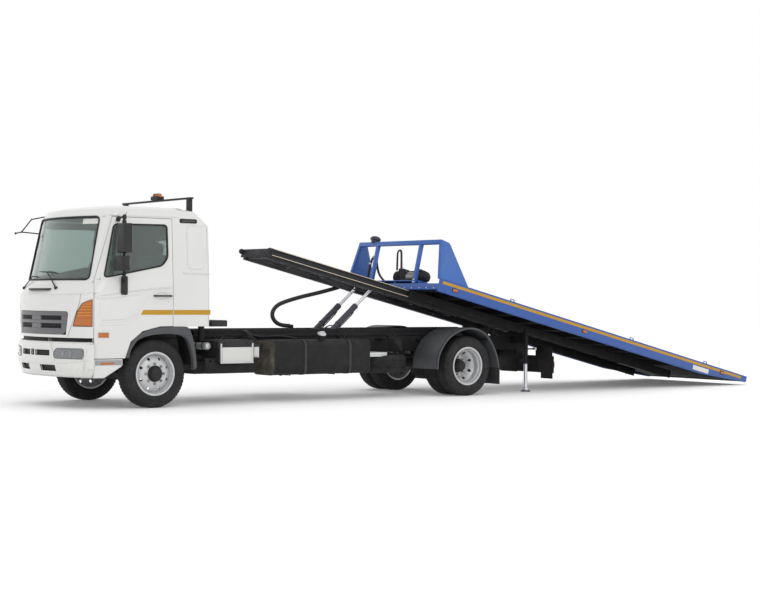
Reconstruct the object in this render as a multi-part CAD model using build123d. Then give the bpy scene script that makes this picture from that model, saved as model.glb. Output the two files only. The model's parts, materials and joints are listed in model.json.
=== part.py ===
from build123d import *
import math
import os

# Rollback recovery truck: a cab-over truck whose flat deck is tilted and slid back.
# Lengths are in millimetres. X runs forward from the front axle, Y to the left, Z up from the ground.
# The whole truck is moved along X at the end, so that the origin is under the middle of its length.

# Running gear
wheelbase = 5530
tyre_radius = 468
tyre_width = 272
rim_radius = 288
rim_flange_radius = 300
front_track_half = 950
rear_inner_half = 726
rear_outer_half = 1036
kingpin_half = 770
hub_bore_radius = 45
axle_running_gap = 0.3

# Chassis
rail_half = 420
rail_flange = 70
rail_web = 8
rail_low = 685
rail_top = 925
rail_front = 1000
rail_rear = -7250
sub_top = 1050
sub_front = -980
sub_rear = -6600
sub_width = 70

# Bed, in its own axes: u along the bed from the tilt pivot, w square to the bed
tilt_deg = 13.1
pivot_x = -6740
pivot_z = 985
pivot_pin_radius = 30
frame_front_u = 4570
frame_rear_u = -350
frame_beam_low = 73
frame_top_w = 233
frame_beam_in = 300
frame_beam_out = 360
channel_out = 420
channel_low = 128
channel_wall = 10
deck_front_u = 1980
deck_tail_u = -5490
deck_half = 1200
deck_rail_top = 417
deck_rail_low = 212
deck_rail_wall = 8
deck_rail_flange = 50
deck_tail_low = 311
taper_start_u = -4250
floor_top = 335
floor_sheet = 6
load_floor_end = 1480
front_floor_top = floor_top - 1
bearer_low = 245
bearer_pitch = 560
runner_in = 430
runner_wall = 20
runner_low = 110
runner_tail_u = -4300
slide_gap = 0.5

# Cab
cab_front = 1270
cab_rear = -850
cab_half = 1120
cab_wall = 45
cab_low = 1112
cab_front_radius = 2200
cab_corner = 250
bumper_corner = 130
bumper_rear = 956
door_front = 947
cab_rear_corner = 80
glass_set = 12
glass_thick = 8
door_gap = 5
cab_pivot_x = 1100
cab_pivot_z = 600
cab_pin_radius = 30
cab_arm_in = 430
cab_arm_out = 470

# Lift cylinders
lift_half = 220
lift_base_x = -3300
lift_base_z = 800
lift_eye_u = 2470
lift_eye_w = 159
barrel_radius = 45
rod_radius = 24
lift_pin_radius = 30
rod_visible = 460

# Stabiliser legs
leg_x = -7130
leg_half = 750
leg_tube_radius = 38
leg_wall = 6
leg_tube_low = 460
leg_tube_top = 1010

# Hose loop, on the right
hose_y = -393
hose_radius = 32
hose_foot_x = -3190
hose_low_z = sub_top + hose_radius + 1

# Overall length sets the origin
bumper_front = 1300
tilt = math.radians(tilt_deg)
tail_x = pivot_x + deck_tail_u * math.cos(tilt) - deck_rail_top * math.sin(tilt)
origin_shift = -(bumper_front + tail_x) / 2

parts = {}


def box(x0, x1, y0, y1, z0, z1):
    """A block between two corners."""
    return Pos((x0 + x1) / 2, (y0 + y1) / 2, (z0 + z1) / 2) * Box(abs(x1 - x0), abs(y1 - y0), abs(z1 - z0))


def rod_y(x, z, radius, y0, y1):
    """A round bar along Y."""
    return Pos(x, (y0 + y1) / 2, z) * Rot(90, 0, 0) * Cylinder(radius, abs(y1 - y0))


def rod_x(y, z, radius, x0, x1):
    """A round bar along X."""
    return Pos((x0 + x1) / 2, y, z) * Rot(0, 90, 0) * Cylinder(radius, abs(x1 - x0))


def rod_z(x, y, radius, z0, z1):
    """A round bar along Z."""
    return Pos(x, y, (z0 + z1) / 2) * Cylinder(radius, abs(z1 - z0))


def bar(start, end, radius):
    """A round bar between two points."""
    a = Vector(*start)
    b = Vector(*end)
    run = b - a
    plane = Plane(origin=a, z_dir=run)
    return plane * (Pos(0, 0, run.length / 2) * Cylinder(radius, run.length))


def side_plate(points, y0, y1, corner=0):
    """A plate with an outline of X, Z points, between two Y values."""
    outline = make_face(Polyline(*points, close=True))
    if corner:
        outline = fillet(outline.vertices(), corner)
    plate = extrude(Plane.XZ * outline, amount=-(y1 - y0))
    return Pos(0, y0, 0) * plate


def front_plate(points, x0, x1, corner=0):
    """A plate with an outline of Y, Z points, between two X values."""
    outline = make_face(Polyline(*points, close=True))
    if corner:
        outline = fillet(outline.vertices(), corner)
    plate = extrude(Plane.YZ * outline, amount=x1 - x0)
    return Pos(x0, 0, 0) * plate


def right(shape):
    """The same piece on the truck's right-hand side."""
    return mirror(shape, about=Plane.XZ)


def both(shape):
    """A piece and its twin on the other side."""
    return [shape, right(shape)]


def fuse(pieces):
    """One solid from touching pieces."""
    whole = pieces[0]
    for piece in pieces[1:]:
        whole = whole + piece
    return whole


def on_bed(shape):
    """Turns a piece drawn in the bed's own axes into its place on the truck."""
    return Pos(pivot_x, 0, pivot_z) * Rot(0, -tilt_deg, 0) * shape


def keep(name, shapes):
    """Stores a sub-component: one solid, or several that don't touch."""
    parts[name] = shapes if isinstance(shapes, list) else [shapes]


# Wheels
rim_wall = 12
rim_half = tyre_width / 2 - 30
disc_wall = 14
bead_gap = 0.3


def ring_profile(points, y_centre, side):
    """A closed outline of radius and offset points, turned about the wheel's own axis."""
    outline = make_face(Polyline(*[(r, side * o) for r, o in points], close=True))
    ring = revolve(outline, axis=Axis.Y)
    return Pos(0, y_centre, 0) * ring


def tyre(y_centre):
    half = tyre_width / 2
    points = [
        (rim_radius, -rim_half),
        (rim_flange_radius + bead_gap, -rim_half),
        (rim_flange_radius + bead_gap, -rim_half - 9),
        (rim_radius + 45, -half + 4),
        (rim_radius + 90, -half),
        (tyre_radius - 30, -half + 14),
        (tyre_radius - 6, -half + 30),
        (tyre_radius, -half + 52),
        (tyre_radius, half - 52),
        (tyre_radius - 6, half - 30),
        (tyre_radius - 30, half - 14),
        (rim_radius + 90, half),
        (rim_radius + 45, half - 4),
        (rim_flange_radius + bead_gap, rim_half + 9),
        (rim_flange_radius + bead_gap, rim_half),
        (rim_radius, rim_half),
    ]
    return ring_profile(points, y_centre, 1)


def rim(y_centre, side, disc_offset):
    """A steel wheel: barrel with flanges, and a dished disc whose face is disc_offset outboard."""
    barrel = [
        (rim_radius, -rim_half),
        (rim_flange_radius, -rim_half),
        (rim_flange_radius, -rim_half - 8),
        (rim_radius - rim_wall, -rim_half - 8),
        (rim_radius - rim_wall, -rim_half + 30),
        (rim_radius - rim_wall - 18, -rim_half + 60),
        (rim_radius - rim_wall - 18, rim_half - 60),
        (rim_radius - rim_wall, rim_half - 30),
        (rim_radius - rim_wall, rim_half + 8),
        (rim_flange_radius, rim_half + 8),
        (rim_flange_radius, rim_half),
        (rim_radius, rim_half),
    ]
    deep = rim_radius - rim_wall - 18
    foot = disc_offset * 0.3
    disc = [
        (hub_bore_radius + 40, disc_offset),
        (175, disc_offset),
        (235, foot + 30),
        (deep + 2, foot),
        (deep + 2, foot - disc_wall),
        (225, foot + 30 - disc_wall),
        (170, disc_offset - disc_wall),
        (hub_bore_radius + 40, disc_offset - disc_wall),
    ]
    wheel = ring_profile(barrel, y_centre, side) + ring_profile(disc, y_centre, side)
    hand_holes = 8
    hole_centre = 214
    hole_radius = 20
    for i in range(hand_holes):
        angle = 2 * math.pi * (i + 0.5) / hand_holes
        hole = Pos(hole_centre * math.cos(angle), y_centre + side * disc_offset * 0.5, hole_centre * math.sin(angle))
        wheel = wheel - hole * (Rot(90, 0, 0) * Cylinder(hole_radius, abs(disc_offset) + 60))
    return wheel


front_disc_offset = 96
hub_radius = 84
hub_gap = 0.3


def place_wheel(shape, x):
    return Pos(x, 0, tyre_radius) * shape


def front_wheel(side, label):
    y = side * front_track_half
    hub_face = front_disc_offset + 62
    hub = ring_profile([(hub_bore_radius, -70), (hub_radius + 30, -70), (hub_radius + 30, -40), (hub_radius + 1, -30),
                        (hub_radius + 1, hub_face - 24), (hub_radius - 12, hub_face), (0, hub_face),
                        (0, hub_face - 20), (hub_bore_radius, hub_face - 20)], y, side)
    wheel = rim(y, side, front_disc_offset) + hub
    keep("rim_front_" + label, place_wheel(wheel, 0))
    keep("tyre_front_" + label, place_wheel(tyre(y), 0))


def rear_wheel(side, label):
    outer = side * rear_outer_half
    inner = side * rear_inner_half
    mid = (rear_outer_half + rear_inner_half) / 2
    # The discs of a twin pair lie face to face: the outer wheel is dished inwards, the inner one outwards.
    outer_rim = rim(outer, -side, rear_outer_half - mid)
    inner_rim = rim(inner, side, mid - rear_inner_half)
    tube_bore = 62
    hub = ring_profile([(tube_bore, -110), (hub_radius + 60, -110), (hub_radius + 60, -60), (hub_radius + 1, -40),
                        (hub_radius + 1, 110), (hub_radius - 16, 130), (0, 130), (0, 110), (tube_bore, 110)],
                       side * mid, side)
    wheel = outer_rim + inner_rim + hub
    keep("rims_rear_" + label, place_wheel(wheel, -wheelbase))
    keep("tyres_rear_" + label, [place_wheel(tyre(outer), -wheelbase), place_wheel(tyre(inner), -wheelbase)])


for side, label in ((1, "left"), (-1, "right")):
    front_wheel(side, label)
    rear_wheel(side, label)


# Front axle and knuckles
kingpin_radius = 24
knuckle_half_height = 90
beam_drop = 70
spring_half = 385
spring_width = 70
spring_seat_half = 60


def knuckle(side):
    """A stub axle on its kingpin eye, with the steering arm behind it."""
    eye = rod_z(0, side * kingpin_half, 46, tyre_radius - knuckle_half_height, tyre_radius - 46)
    eye_top = rod_z(0, side * kingpin_half, 46, tyre_radius + 46, tyre_radius + knuckle_half_height)
    web = box(-34, 34, side * (kingpin_half + 47), side * (kingpin_half + 90),
              tyre_radius - knuckle_half_height, tyre_radius + knuckle_half_height)
    bridge_low = box(-34, 34, side * kingpin_half, side * (kingpin_half + 60),
                     tyre_radius - knuckle_half_height, tyre_radius - 50)
    bridge_top = box(-34, 34, side * kingpin_half, side * (kingpin_half + 60),
                     tyre_radius + 50, tyre_radius + knuckle_half_height)
    stub_end = front_track_half + front_disc_offset + 30
    stub = rod_y(0, tyre_radius, hub_bore_radius - hub_gap, side * (kingpin_half + 60), side * stub_end)
    bore = rod_z(0, side * kingpin_half, kingpin_radius + axle_running_gap, tyre_radius - 120, tyre_radius + 120)
    arm = box(-190, -20, side * (kingpin_half - 50), side * (kingpin_half - 20), tyre_radius - 86, tyre_radius - 62)
    return fuse([eye, eye_top, web, bridge_low, bridge_top, stub, arm]) - bore


for side, label in ((1, "left"), (-1, "right")):
    keep("knuckle_" + label, knuckle(side))

beam_points = [
    (-kingpin_half + 60, tyre_radius + 38), (-kingpin_half + 60, tyre_radius - 38), (-560, tyre_radius - 60),
    (-470, tyre_radius - beam_drop - 50), (470, tyre_radius - beam_drop - 50), (560, tyre_radius - 60),
    (kingpin_half - 60, tyre_radius - 38), (kingpin_half - 60, tyre_radius + 38), (560, tyre_radius + 20),
    (470, tyre_radius - beam_drop + 40), (-470, tyre_radius - beam_drop + 40), (-560, tyre_radius + 20)]
front_axle = front_plate(beam_points, -40, 40)
for side in (1, -1):
    boss = rod_z(0, side * kingpin_half, 44, tyre_radius - 40, tyre_radius + 40)
    neck = box(-36, 36, side * (kingpin_half - 80), side * (kingpin_half - 20), tyre_radius - 36, tyre_radius + 36)
    pin = rod_z(0, side * kingpin_half, kingpin_radius, tyre_radius - knuckle_half_height + 4,
                tyre_radius + knuckle_half_height - 4)
    front_axle = front_axle + boss + neck + pin
keep("front_axle", front_axle)


def leaf_spring(x_mid, half_length, y, z_seat, leaves, leaf):
    """A pack of leaves, each shorter than the one above it, hung from the rail by its two eyes."""
    eye_z = rail_low - 70
    rise = eye_z - z_seat - leaves * leaf

    def top_at(x):
        return z_seat + leaves * leaf + rise * (x / half_length) ** 2

    reaches = [half_length * (1 - i / leaves * 0.75) for i in range(leaves)]
    steps = 8
    top = [half_length * (1 - 2 * i / steps) for i in range(steps + 1)]
    outline = [(x_mid - x, top_at(x)) for x in top]
    under = []
    for i, reach in enumerate(reaches):
        under.append((reach, top_at(reach) - leaf * i))
        under.append((reach, top_at(reach) - leaf * (i + 1)))
    outline += [(x_mid + x, z) for x, z in under[1:]]
    outline += [(x_mid + spring_seat_half, z_seat), (x_mid - spring_seat_half, z_seat)]
    outline += [(x_mid - x, z) for x, z in under[:0:-1]]
    pack = [side_plate(outline, y - spring_width / 2, y + spring_width / 2)]
    for end in (-1, 1):
        x = x_mid + end * half_length
        pack.append(rod_y(x, eye_z, 28, y - spring_width / 2 - 9, y + spring_width / 2 + 9))
        pack.append(box(x - 24, x + 24, y - 44, y + 44, eye_z, rail_low))
    return fuse(pack)


front_spring_seat = tyre_radius - beam_drop + 40
front_springs = both(leaf_spring(0, 640, spring_half, front_spring_seat, 5, 12))

# Rear axle
axle_tube_radius = 61.5
rear_seat_rise = 66
diff_radius = 215
rear_axle = rod_y(-wheelbase, tyre_radius, axle_tube_radius, -(rear_outer_half - 55), rear_outer_half - 55)
rear_axle = rear_axle + Pos(-wheelbase, 0, tyre_radius) * Sphere(diff_radius)
rear_axle = rear_axle + rod_x(0, tyre_radius + 20, 80, -wheelbase + 150, -wheelbase + 360)
for side in (1, -1):
    seat = box(-wheelbase - 70, -wheelbase + 70, side * 330, side * 450, tyre_radius, tyre_radius + rear_seat_rise)
    rear_axle = rear_axle + seat
keep("rear_axle", rear_axle)
rear_springs = both(leaf_spring(-wheelbase, 720, spring_half, tyre_radius + rear_seat_rise, 5, 14))
keep("leaf_springs", front_springs + rear_springs)

# Ladder frame: two channels with their open sides facing in, and cross members
rail_outline = [(rail_half, rail_low), (rail_half, rail_top), (rail_half - rail_flange, rail_top),
                (rail_half - rail_flange, rail_top - rail_web), (rail_half - rail_web, rail_top - rail_web),
                (rail_half - rail_web, rail_low + rail_web), (rail_half - rail_flange, rail_low + rail_web),
                (rail_half - rail_flange, rail_low)]
rail = front_plate(rail_outline, rail_rear, rail_front)
ladder = [rail, right(rail)]
cross_members = [950, -2450, -3080, -4620, -6350, -7160]
cross_half = rail_half - rail_web
for x in cross_members:
    ladder.append(box(x - 35, x + 35, -cross_half, cross_half, rail_low + 40, rail_top - 60))
spare_x = -wheelbase + 1341
spare_y = 530
spare_mid = 518
spare_offset = 60
hanger_low = spare_mid + tyre_width / 2 + 8
ladder.append(box(spare_x - 40, spare_x + 40, cross_half - 20, spare_y + 40, hanger_low, rail_low))
ladder.append(rod_z(spare_x, spare_y, 30, spare_mid + spare_offset, hanger_low))
ladder.append(rod_z(spare_x, spare_y, 120, spare_mid + spare_offset, spare_mid + spare_offset + 12))
for side in (1, -1):
    horn_in = side * (cross_half - 40)
    horn_out = side * cross_half
    ladder.append(box(900, cab_pivot_x, horn_in, horn_out, cab_pivot_z - 45, rail_top - 60))
    ladder.append(rod_y(cab_pivot_x, cab_pivot_z, 45, horn_in, horn_out))
ladder.append(rod_y(cab_pivot_x, cab_pivot_z, cab_pin_radius, -cab_arm_out - 5, cab_arm_out + 5))
keep("ladder_frame", fuse(ladder))

# Sub-frame on the rails, with the tilt pivot at its rear and the lift cylinders' lower pivot
sub_rails = [box(sub_rear, sub_front, side * (rail_half - sub_width), side * rail_half, rail_top, sub_top)
             for side in (1, -1)]
sub_cross = [box(x - 30, x + 30, -rail_half + sub_width, rail_half - sub_width, rail_top + 15, sub_top - 30)
             for x in (-1150, -2300, -5100, -6300)]
pivot_ears = [box(pivot_x - 50, pivot_x + 50, side * 366, side * 400, rail_top, pivot_z + 10) +
              rod_y(pivot_x, pivot_z, 50, side * 366, side * 400) for side in (1, -1)]
pivot_shaft = rod_y(pivot_x, pivot_z, pivot_pin_radius, -400, 400)
bracket_stations = [-1390, -3600, -4560]
mount_brackets = []
for x in bracket_stations:
    bracket_outline = [(x - 90, sub_top - 20), (x + 90, sub_top - 20), (x + 30, rail_low + 90),
                       (x - 30, rail_low + 90)]
    mount_brackets += both(side_plate(bracket_outline, rail_half, rail_half + 8))
lift_ears = [box(lift_base_x - 45, lift_base_x + 45, side * (cross_half - 90), side * cross_half,
                 lift_base_z - 45, lift_base_z + 45) for side in (1, -1)]
lift_shaft = rod_y(lift_base_x, lift_base_z, lift_pin_radius, -rail_half + 90, rail_half - 90)
hose_gland = box(hose_foot_x - 60, hose_foot_x, hose_y - 27, hose_y + 27, sub_top, sub_top + hose_radius + 18)
keep("sub_frame", fuse(sub_rails + sub_cross + mount_brackets + [hose_gland]))
keep("bed_pivots", [fuse(pivot_ears + [pivot_shaft]), fuse(lift_ears + [lift_shaft])])

# Engine, gearbox and propeller shaft
engine = box(-1100, 380, -300, 300, 480, 1060)
gearbox = box(-1880, -1100, -210, 210, 400, 820)
engine_mounts = [box(x - 40, x + 40, side * 290, side * cross_half, 710, 770)
                 for side in (1, -1) for x in (200, -900)]
engine_block = fuse([engine, gearbox] + engine_mounts)
keep("engine_block", engine_block)
prop_start = (-1880, 0, 600)
prop_end = (-wheelbase + 360, 0, tyre_radius + 20)
keep("propeller_shaft", bar(prop_start, prop_end, 45) - engine_block - rear_axle)

# Fuel tank and boxes along the sides; the tank fills the room between its front end and the spare wheel
tank_out = 1010
tank_in = 440
tank_front = -1980
spare_clearance = 11
tank_rear = spare_x + tyre_radius + spare_clearance
filler_x = tank_front - 910
tank = box(tank_rear, tank_front, tank_in, tank_out, 393, 900)
tank = fillet(tank.edges().filter_by(Axis.X), 110)
tank_feet = [box(x - 30, x + 30, rail_half, tank_in + 30, 560, 860) for x in (tank_front - 550, tank_rear + 370)]
filler = bar((filler_x, 880, 880), (filler_x, 905, 985), 55)
keep("fuel_tank", fuse([tank] + tank_feet + [filler]))
battery = box(-1624, -1051, 520, 1000, 598, 815)
battery_lid = box(-1640, -1034, 510, 1010, 815, 900)
battery_arm = [box(x - 25, x + 25, rail_half, 530, 700, 800) for x in (-1150, -1500)]
relay_box = fuse([box(-1780, -1700, 700, 900, 660, 844), box(-1760, -1720, rail_half, 720, 740, 780)])
keep("battery_box", [fuse([battery, battery_lid] + battery_arm), relay_box])
tool_box = box(-3600, -2300, -1010, -470, 400, 880)
tool_feet = [box(x - 30, x + 30, -500, -rail_half, 600, 860) for x in (-3400, -2500)]
keep("tool_box", fuse([tool_box] + tool_feet))
silencer = rod_x(-720, 600, 200, -2150, -1250)
silencer_arms = [box(x - 25, x + 25, -640, -rail_half, 700, 780) for x in (-1450, -1950)]
keep("silencer", fuse([silencer] + silencer_arms))

# Spare wheel, lying flat below the left rail
spare_turn = Pos(spare_x, spare_y, spare_mid) * Rot(90, 0, 0)
keep("spare_tyre", spare_turn * tyre(0))
keep("spare_rim", spare_turn * rim(0, 1, spare_offset))

# Rear mudguards with their flaps
guard_in = 600
guard_out = 1210
guard_front = 670
guard_rear = -620
guard_low = 430
flap_thick = 8
# Outlines run from the axle: distance ahead of it, and height
guard_points = [(guard_front, guard_low), (637, 653), (479, 883), (257, 1021), (12, 1072), (-217, 1033),
                (-407, 906), (-557, 666), (guard_rear, guard_low)]
guard_inner = [(guard_front - 8, guard_low), (629, 651), (473, 877), (254, 1013), (12, 1064), (-213, 1025),
               (-400, 901), (-549, 664), (guard_rear + 8, guard_low)]
guard_outline = [(ahead - wheelbase, height) for ahead, height in guard_points + guard_inner[::-1]]
guard = side_plate(guard_outline, guard_in, guard_out)
flap = box(guard_rear - wheelbase, guard_rear + flap_thick - wheelbase, guard_in, guard_out, 170, guard_low + 1)
guard_stays = [box(-wheelbase - 8, -wheelbase + 32, rail_half, guard_out - 30, 1036, 1066)]
keep("rear_mudguards", [fuse([guard, flap] + guard_stays), right(fuse([guard, flap] + guard_stays))])

# Stabiliser leg housings on a cross beam at the rails' rear end
leg_beam = box(leg_x - 50, leg_x + 50, rail_half, leg_half - leg_tube_radius + 4, 790, 900)
leg_tube = rod_z(leg_x, leg_half, leg_tube_radius, leg_tube_low, leg_tube_top)
leg_bore = rod_z(leg_x, leg_half, leg_tube_radius - leg_wall, leg_tube_low - 1, leg_tube_top - 10)
leg_housings = both((leg_beam + leg_tube) - leg_bore)
leg_inner_radius = leg_tube_radius - leg_wall - 0.5
leg_inner_top = 600
foot_radius = 62
foot_thick = 30
for side, label in ((1, "left"), (-1, "right")):
    inner_leg = rod_z(leg_x, side * leg_half, leg_inner_radius, foot_thick, leg_inner_top)
    foot = rod_z(leg_x, side * leg_half, foot_radius, 0, foot_thick)
    neck = rod_z(leg_x, side * leg_half, 42, foot_thick, foot_thick + 40)
    keep("leg_" + label, fuse([inner_leg, foot, neck]))

# Rear board with lamps, and the towing bracket
board_x = -7450
board = box(board_x - 10, board_x + 10, -1080, 1080, 310, 590)
board_arms = [box(board_x, rail_rear, side * 380, side * 412, 520, 800) for side in (1, -1)]
flaps = [box(board_x - 10, board_x - 4, side * 770, side * 1050, 215, 310) for side in (1, -1)]
hitch_plate = box(board_x, board_x + 20, -200, 200, 300, 620)
keep("tail_frame", [fuse([board] + board_arms + flaps + [hitch_plate])] + leg_housings)
rear_lamps = [box(board_x - 42, board_x - 10, side * 820, side * 1060, 400, 500) for side in (1, -1)]
keep("rear_lamps", rear_lamps)

# Stack box behind the cab
stack = fuse([box(-1020, -940, 600, 660, 870, 1105), box(-1190, -930, 560, 1000, 1105, 1195),
              box(-1010, -950, rail_half, 620, 870, 910)])
keep("intake_box", stack)

# Cab shell
cab_sections = [
    # height, front on the centre line, half width, rear
    (430, cab_front, cab_half, cab_rear),
    (1550, cab_front, cab_half, cab_rear),
    (1720, cab_front - 123, cab_half - 6, cab_rear),
    (2500, cab_front - 303, cab_half - 50, cab_rear),
    (2615, cab_front - 330, cab_half - 60, cab_rear + 121),
    (2700, cab_front - 390, cab_half - 95, cab_rear + 210),
    (2748, cab_front - 600, cab_half - 240, cab_rear + 350),
]


def cab_plan(height, front, half, rear, inset, round_corner=cab_corner):
    """One level of the cab: a bowed front, round corners, straight sides and a flat back."""
    f = front - inset
    h = half - inset
    b = rear + inset
    bow = cab_front_radius - inset
    corner = round_corner - inset
    back = cab_rear_corner - inset
    centre = f - bow
    corner_x = centre + math.sqrt((bow - corner) ** 2 - (h - corner) ** 2)
    a = math.atan2(h - corner, corner_x - centre)
    join = (centre + bow * math.cos(a), bow * math.sin(a))
    m = (a + math.pi / 2) / 2
    mid = (corner_x + corner * math.cos(m), h - corner + corner * math.sin(m))
    s = math.sqrt(0.5)
    rear_mid = (b + back - back * s, h - back + back * s)
    edges = [
        ThreePointArc((join[0], -join[1]), (f, 0), join),
        ThreePointArc(join, mid, (corner_x, h)),
        Line((corner_x, h), (b + back, h)),
        ThreePointArc((b + back, h), rear_mid, (b, h - back)),
        Line((b, h - back), (b, -(h - back))),
        ThreePointArc((b, -(h - back)), (rear_mid[0], -rear_mid[1]), (b + back, -h)),
        Line((b + back, -h), (corner_x, -h)),
        ThreePointArc((corner_x, -h), (mid[0], -mid[1]), (join[0], -join[1])),
    ]
    return Pos(0, 0, height) * make_face(edges)


def cab_form(inset, roof_drop):
    """The cab's outer form, or a smaller one inside it."""
    faces = []
    for height, front, half, rear in cab_sections:
        drop = roof_drop if height > 2650 else 0
        faces.append(cab_plan(height - drop, front, half, rear, inset))
    return loft(faces, ruled=True)


outer_form = cab_form(0, 0)
inner_form = cab_form(cab_wall, cab_wall)
cab_skin = outer_form - inner_form

door_points = [(-243, 1112), (-243, 2590), (655, 2590), (895, 1773), (door_front, 1560), (door_front, 684),
               (492, 684), (410, 905), (228, 1047), (-35, 1109)]
window_points = [(800, 1768), (640, 2488), (-160, 2498), (-165, 2050), (-75, 1940)]


def outline_face(points, grow, corner):
    face = make_face(Polyline(*points, close=True))
    if grow:
        face = offset(face, amount=grow, kind=Kind.INTERSECTION)
    if corner:
        face = fillet(face.vertices(), corner)
    return face


def across(face, y0, y1):
    """A prism between two Y values from an outline of X, Z points."""
    return Pos(0, y0, 0) * extrude(Plane.XZ * face, amount=-(y1 - y0))


door_hole = across(outline_face(door_points, 0, 0), 850, 1300)
door_blank = across(outline_face(door_points, -door_gap, 0), 900, 1250)
window_hole = across(outline_face(window_points, 0, 40), 850, 1300)
upper_region = box(-1000, 1400, -1300, 1300, cab_low, 2800)
chin_region = box(door_front, 1400, -1300, 1300, 960, cab_low)
shell = (cab_skin & upper_region) + (cab_skin & chin_region)
floor = cab_form(cab_wall - 6, cab_wall) & box(-900, 1180, -1100, 1100, cab_low, cab_low + 40)
shell = shell + floor
shell = shell - door_hole - right(door_hole)
screen_points = [(-922, 1742), (-880, 2590), (880, 2590), (922, 1742)]
screen_hole = front_plate(screen_points, 600, 1400, 60)
rear_window_points = [(-420, 1900), (-420, 2350), (420, 2350), (420, 1900)]
rear_window_hole = front_plate(rear_window_points, -1000, -700, 60)
grille_points = [(-731, 1290), (-690, 1000), (690, 1000), (731, 1290), (700, 1315), (-700, 1315)]
grille_hole = front_plate(grille_points, 1095, 1400)
lamp_points = [(805, 1112), (870, 1310), (945, 1420), (1100, 1492), (1100, 1112)]
corner_lamp_hole = front_plate(lamp_points, door_front + 12, 1300)
shell = shell - screen_hole - rear_window_hole - grille_hole - corner_lamp_hole - right(corner_lamp_hole)
keep("cab_shell", shell)

glass_form = cab_form(glass_set, glass_set) - cab_form(glass_set + glass_thick, glass_set + glass_thick)
keep("cab_glass", [glass_form & screen_hole, glass_form & rear_window_hole])
side_glass = glass_form & window_hole
door = (cab_skin & door_blank) - window_hole
for side, label in ((1, "left"), (-1, "right")):
    keep("door_" + label, door if side > 0 else right(door))
    keep("door_glass_" + label, side_glass if side > 0 else right(side_glass))

lamp_form = cab_form(3, 3) - cab_form(cab_wall, cab_wall)
corner_lamp = lamp_form & corner_lamp_hole
keep("corner_lamps", both(corner_lamp))
grille_frame = (cab_form(6, 6) - cab_form(36, 36)) & grille_hole
grille_gaps = [box(1000, 1400, -620, 620, z, z + 60) for z in (1045, 1125, 1205)]
for gap in grille_gaps:
    grille_frame = grille_frame - gap
slat_form = (cab_form(20, 20) - cab_form(40, 40)) & grille_hole
slats = [slat_form & box(900, 1400, -640, 640, z, z + 12) for z in (1068, 1148, 1228)]
keep("grille", fuse([grille_frame] + slats))

# Step panels below the doors, with a well behind each
step_outline = [(door_front, 430), (809, 430), (557, 574), (534, 600), (534, 679), (door_front, 679)]
step_skin = cab_skin & across(outline_face(step_outline, 0, 0), 900, 1250)
well_back = box(640, 920, 770, 785, 600, cab_low)
well_front = box(905, 920, 785, 990, 600, cab_low)
well_rear = box(640, 655, 785, 1060, 600, 679)
tread = box(640, 920, 770, 1078, 600, 620)
step = fuse([step_skin, well_back, well_front, tread, well_rear])
keep("cab_steps", both(step))

# Wheel arch flares, fixed to the cab
flare_points = [(488, 690), (404, 900), (225, 1040), (-37, 1104), (-248, 1110), (-490, 1111), (-539, 994),
                (-605, 758), (-623, 536), (-575, 503), (-558, 676), (-476, 911), (-396, 988), (-113, 1011),
                (119, 992), (302, 933), (400, 800), (430, 690)]
flare = side_plate(flare_points, 1040, 1128)
liner_points = [(620, 684), (560, 920), (430, 1060), (300, cab_low), (-470, cab_low), (-610, 950), (-640, 560),
                (-632, 560), (-602, 946), (-466, 1102), (296, 1102), (425, 1052), (552, 916), (612, 684)]
liner = side_plate(liner_points, 620, 1040)
keep("arch_liners", both(fuse([flare, liner])))

# Bumper with lamps
bumper_sections = [
    # height, front on the centre line, half width
    (430, bumper_front - 60, cab_half - 14),
    (560, bumper_front - 10, cab_half + 6),
    (700, bumper_front, cab_half + 12),
    (860, bumper_front, cab_half + 12),
    (909, bumper_front - 25, cab_half),
]
bumper_wall = 30


def bumper_form(inset):
    levels = [cab_plan(z, front, half, 400, inset, bumper_corner) for z, front, half in bumper_sections]
    return loft(levels, ruled=True)


bumper_region = box(bumper_rear, 1400, -1300, 1300, 400, 1000)
bumper = (bumper_form(0) - bumper_form(bumper_wall)) & bumper_region
slot_table = [
    # y from, y to, z from, z to
    (52, 410, 715, 790),
    (-75, 20, 715, 795),
    (-410, -110, 715, 790),
    (175, 515, 510, 590),
    (-515, -175, 510, 590),
]
for y0, y1, z0, z1 in slot_table:
    bumper = bumper - box(1100, 1400, y0, y1, z0, z1)
lamp_outline = [(520, 680), (500, 760), (560, 815), (1010, 815), (1010, 680)]
head_lamp_hole = front_plate(lamp_outline, 1050, 1400, 25)
bumper = bumper - head_lamp_hole - right(head_lamp_hole)
bumper_arms = []
for side in (1, -1):
    arm = box(cab_pivot_x - 45, cab_pivot_x + 45, side * cab_arm_in, side * cab_arm_out, cab_pivot_z, cab_low)
    foot = rod_y(cab_pivot_x, cab_pivot_z, 45, side * cab_arm_in, side * cab_arm_out)
    reach = box(cab_pivot_x + 20, 1230, side * cab_arm_in, side * cab_arm_out, 620, 700)
    bore = rod_y(cab_pivot_x, cab_pivot_z, cab_pin_radius + axle_running_gap, side * 400, side * 500)
    bumper_arms.append(fuse([arm, foot, reach]) - bore)
keep("bumper", fuse([bumper] + bumper_arms))
head_lamp = (bumper_form(4) - bumper_form(bumper_wall + 30)) & head_lamp_hole
keep("head_lamps", both(head_lamp))

# Cab interior
dash_half = 925
dashboard = box(860, 1120, -dash_half, dash_half, cab_low + 40, 1640) & inner_form


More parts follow.
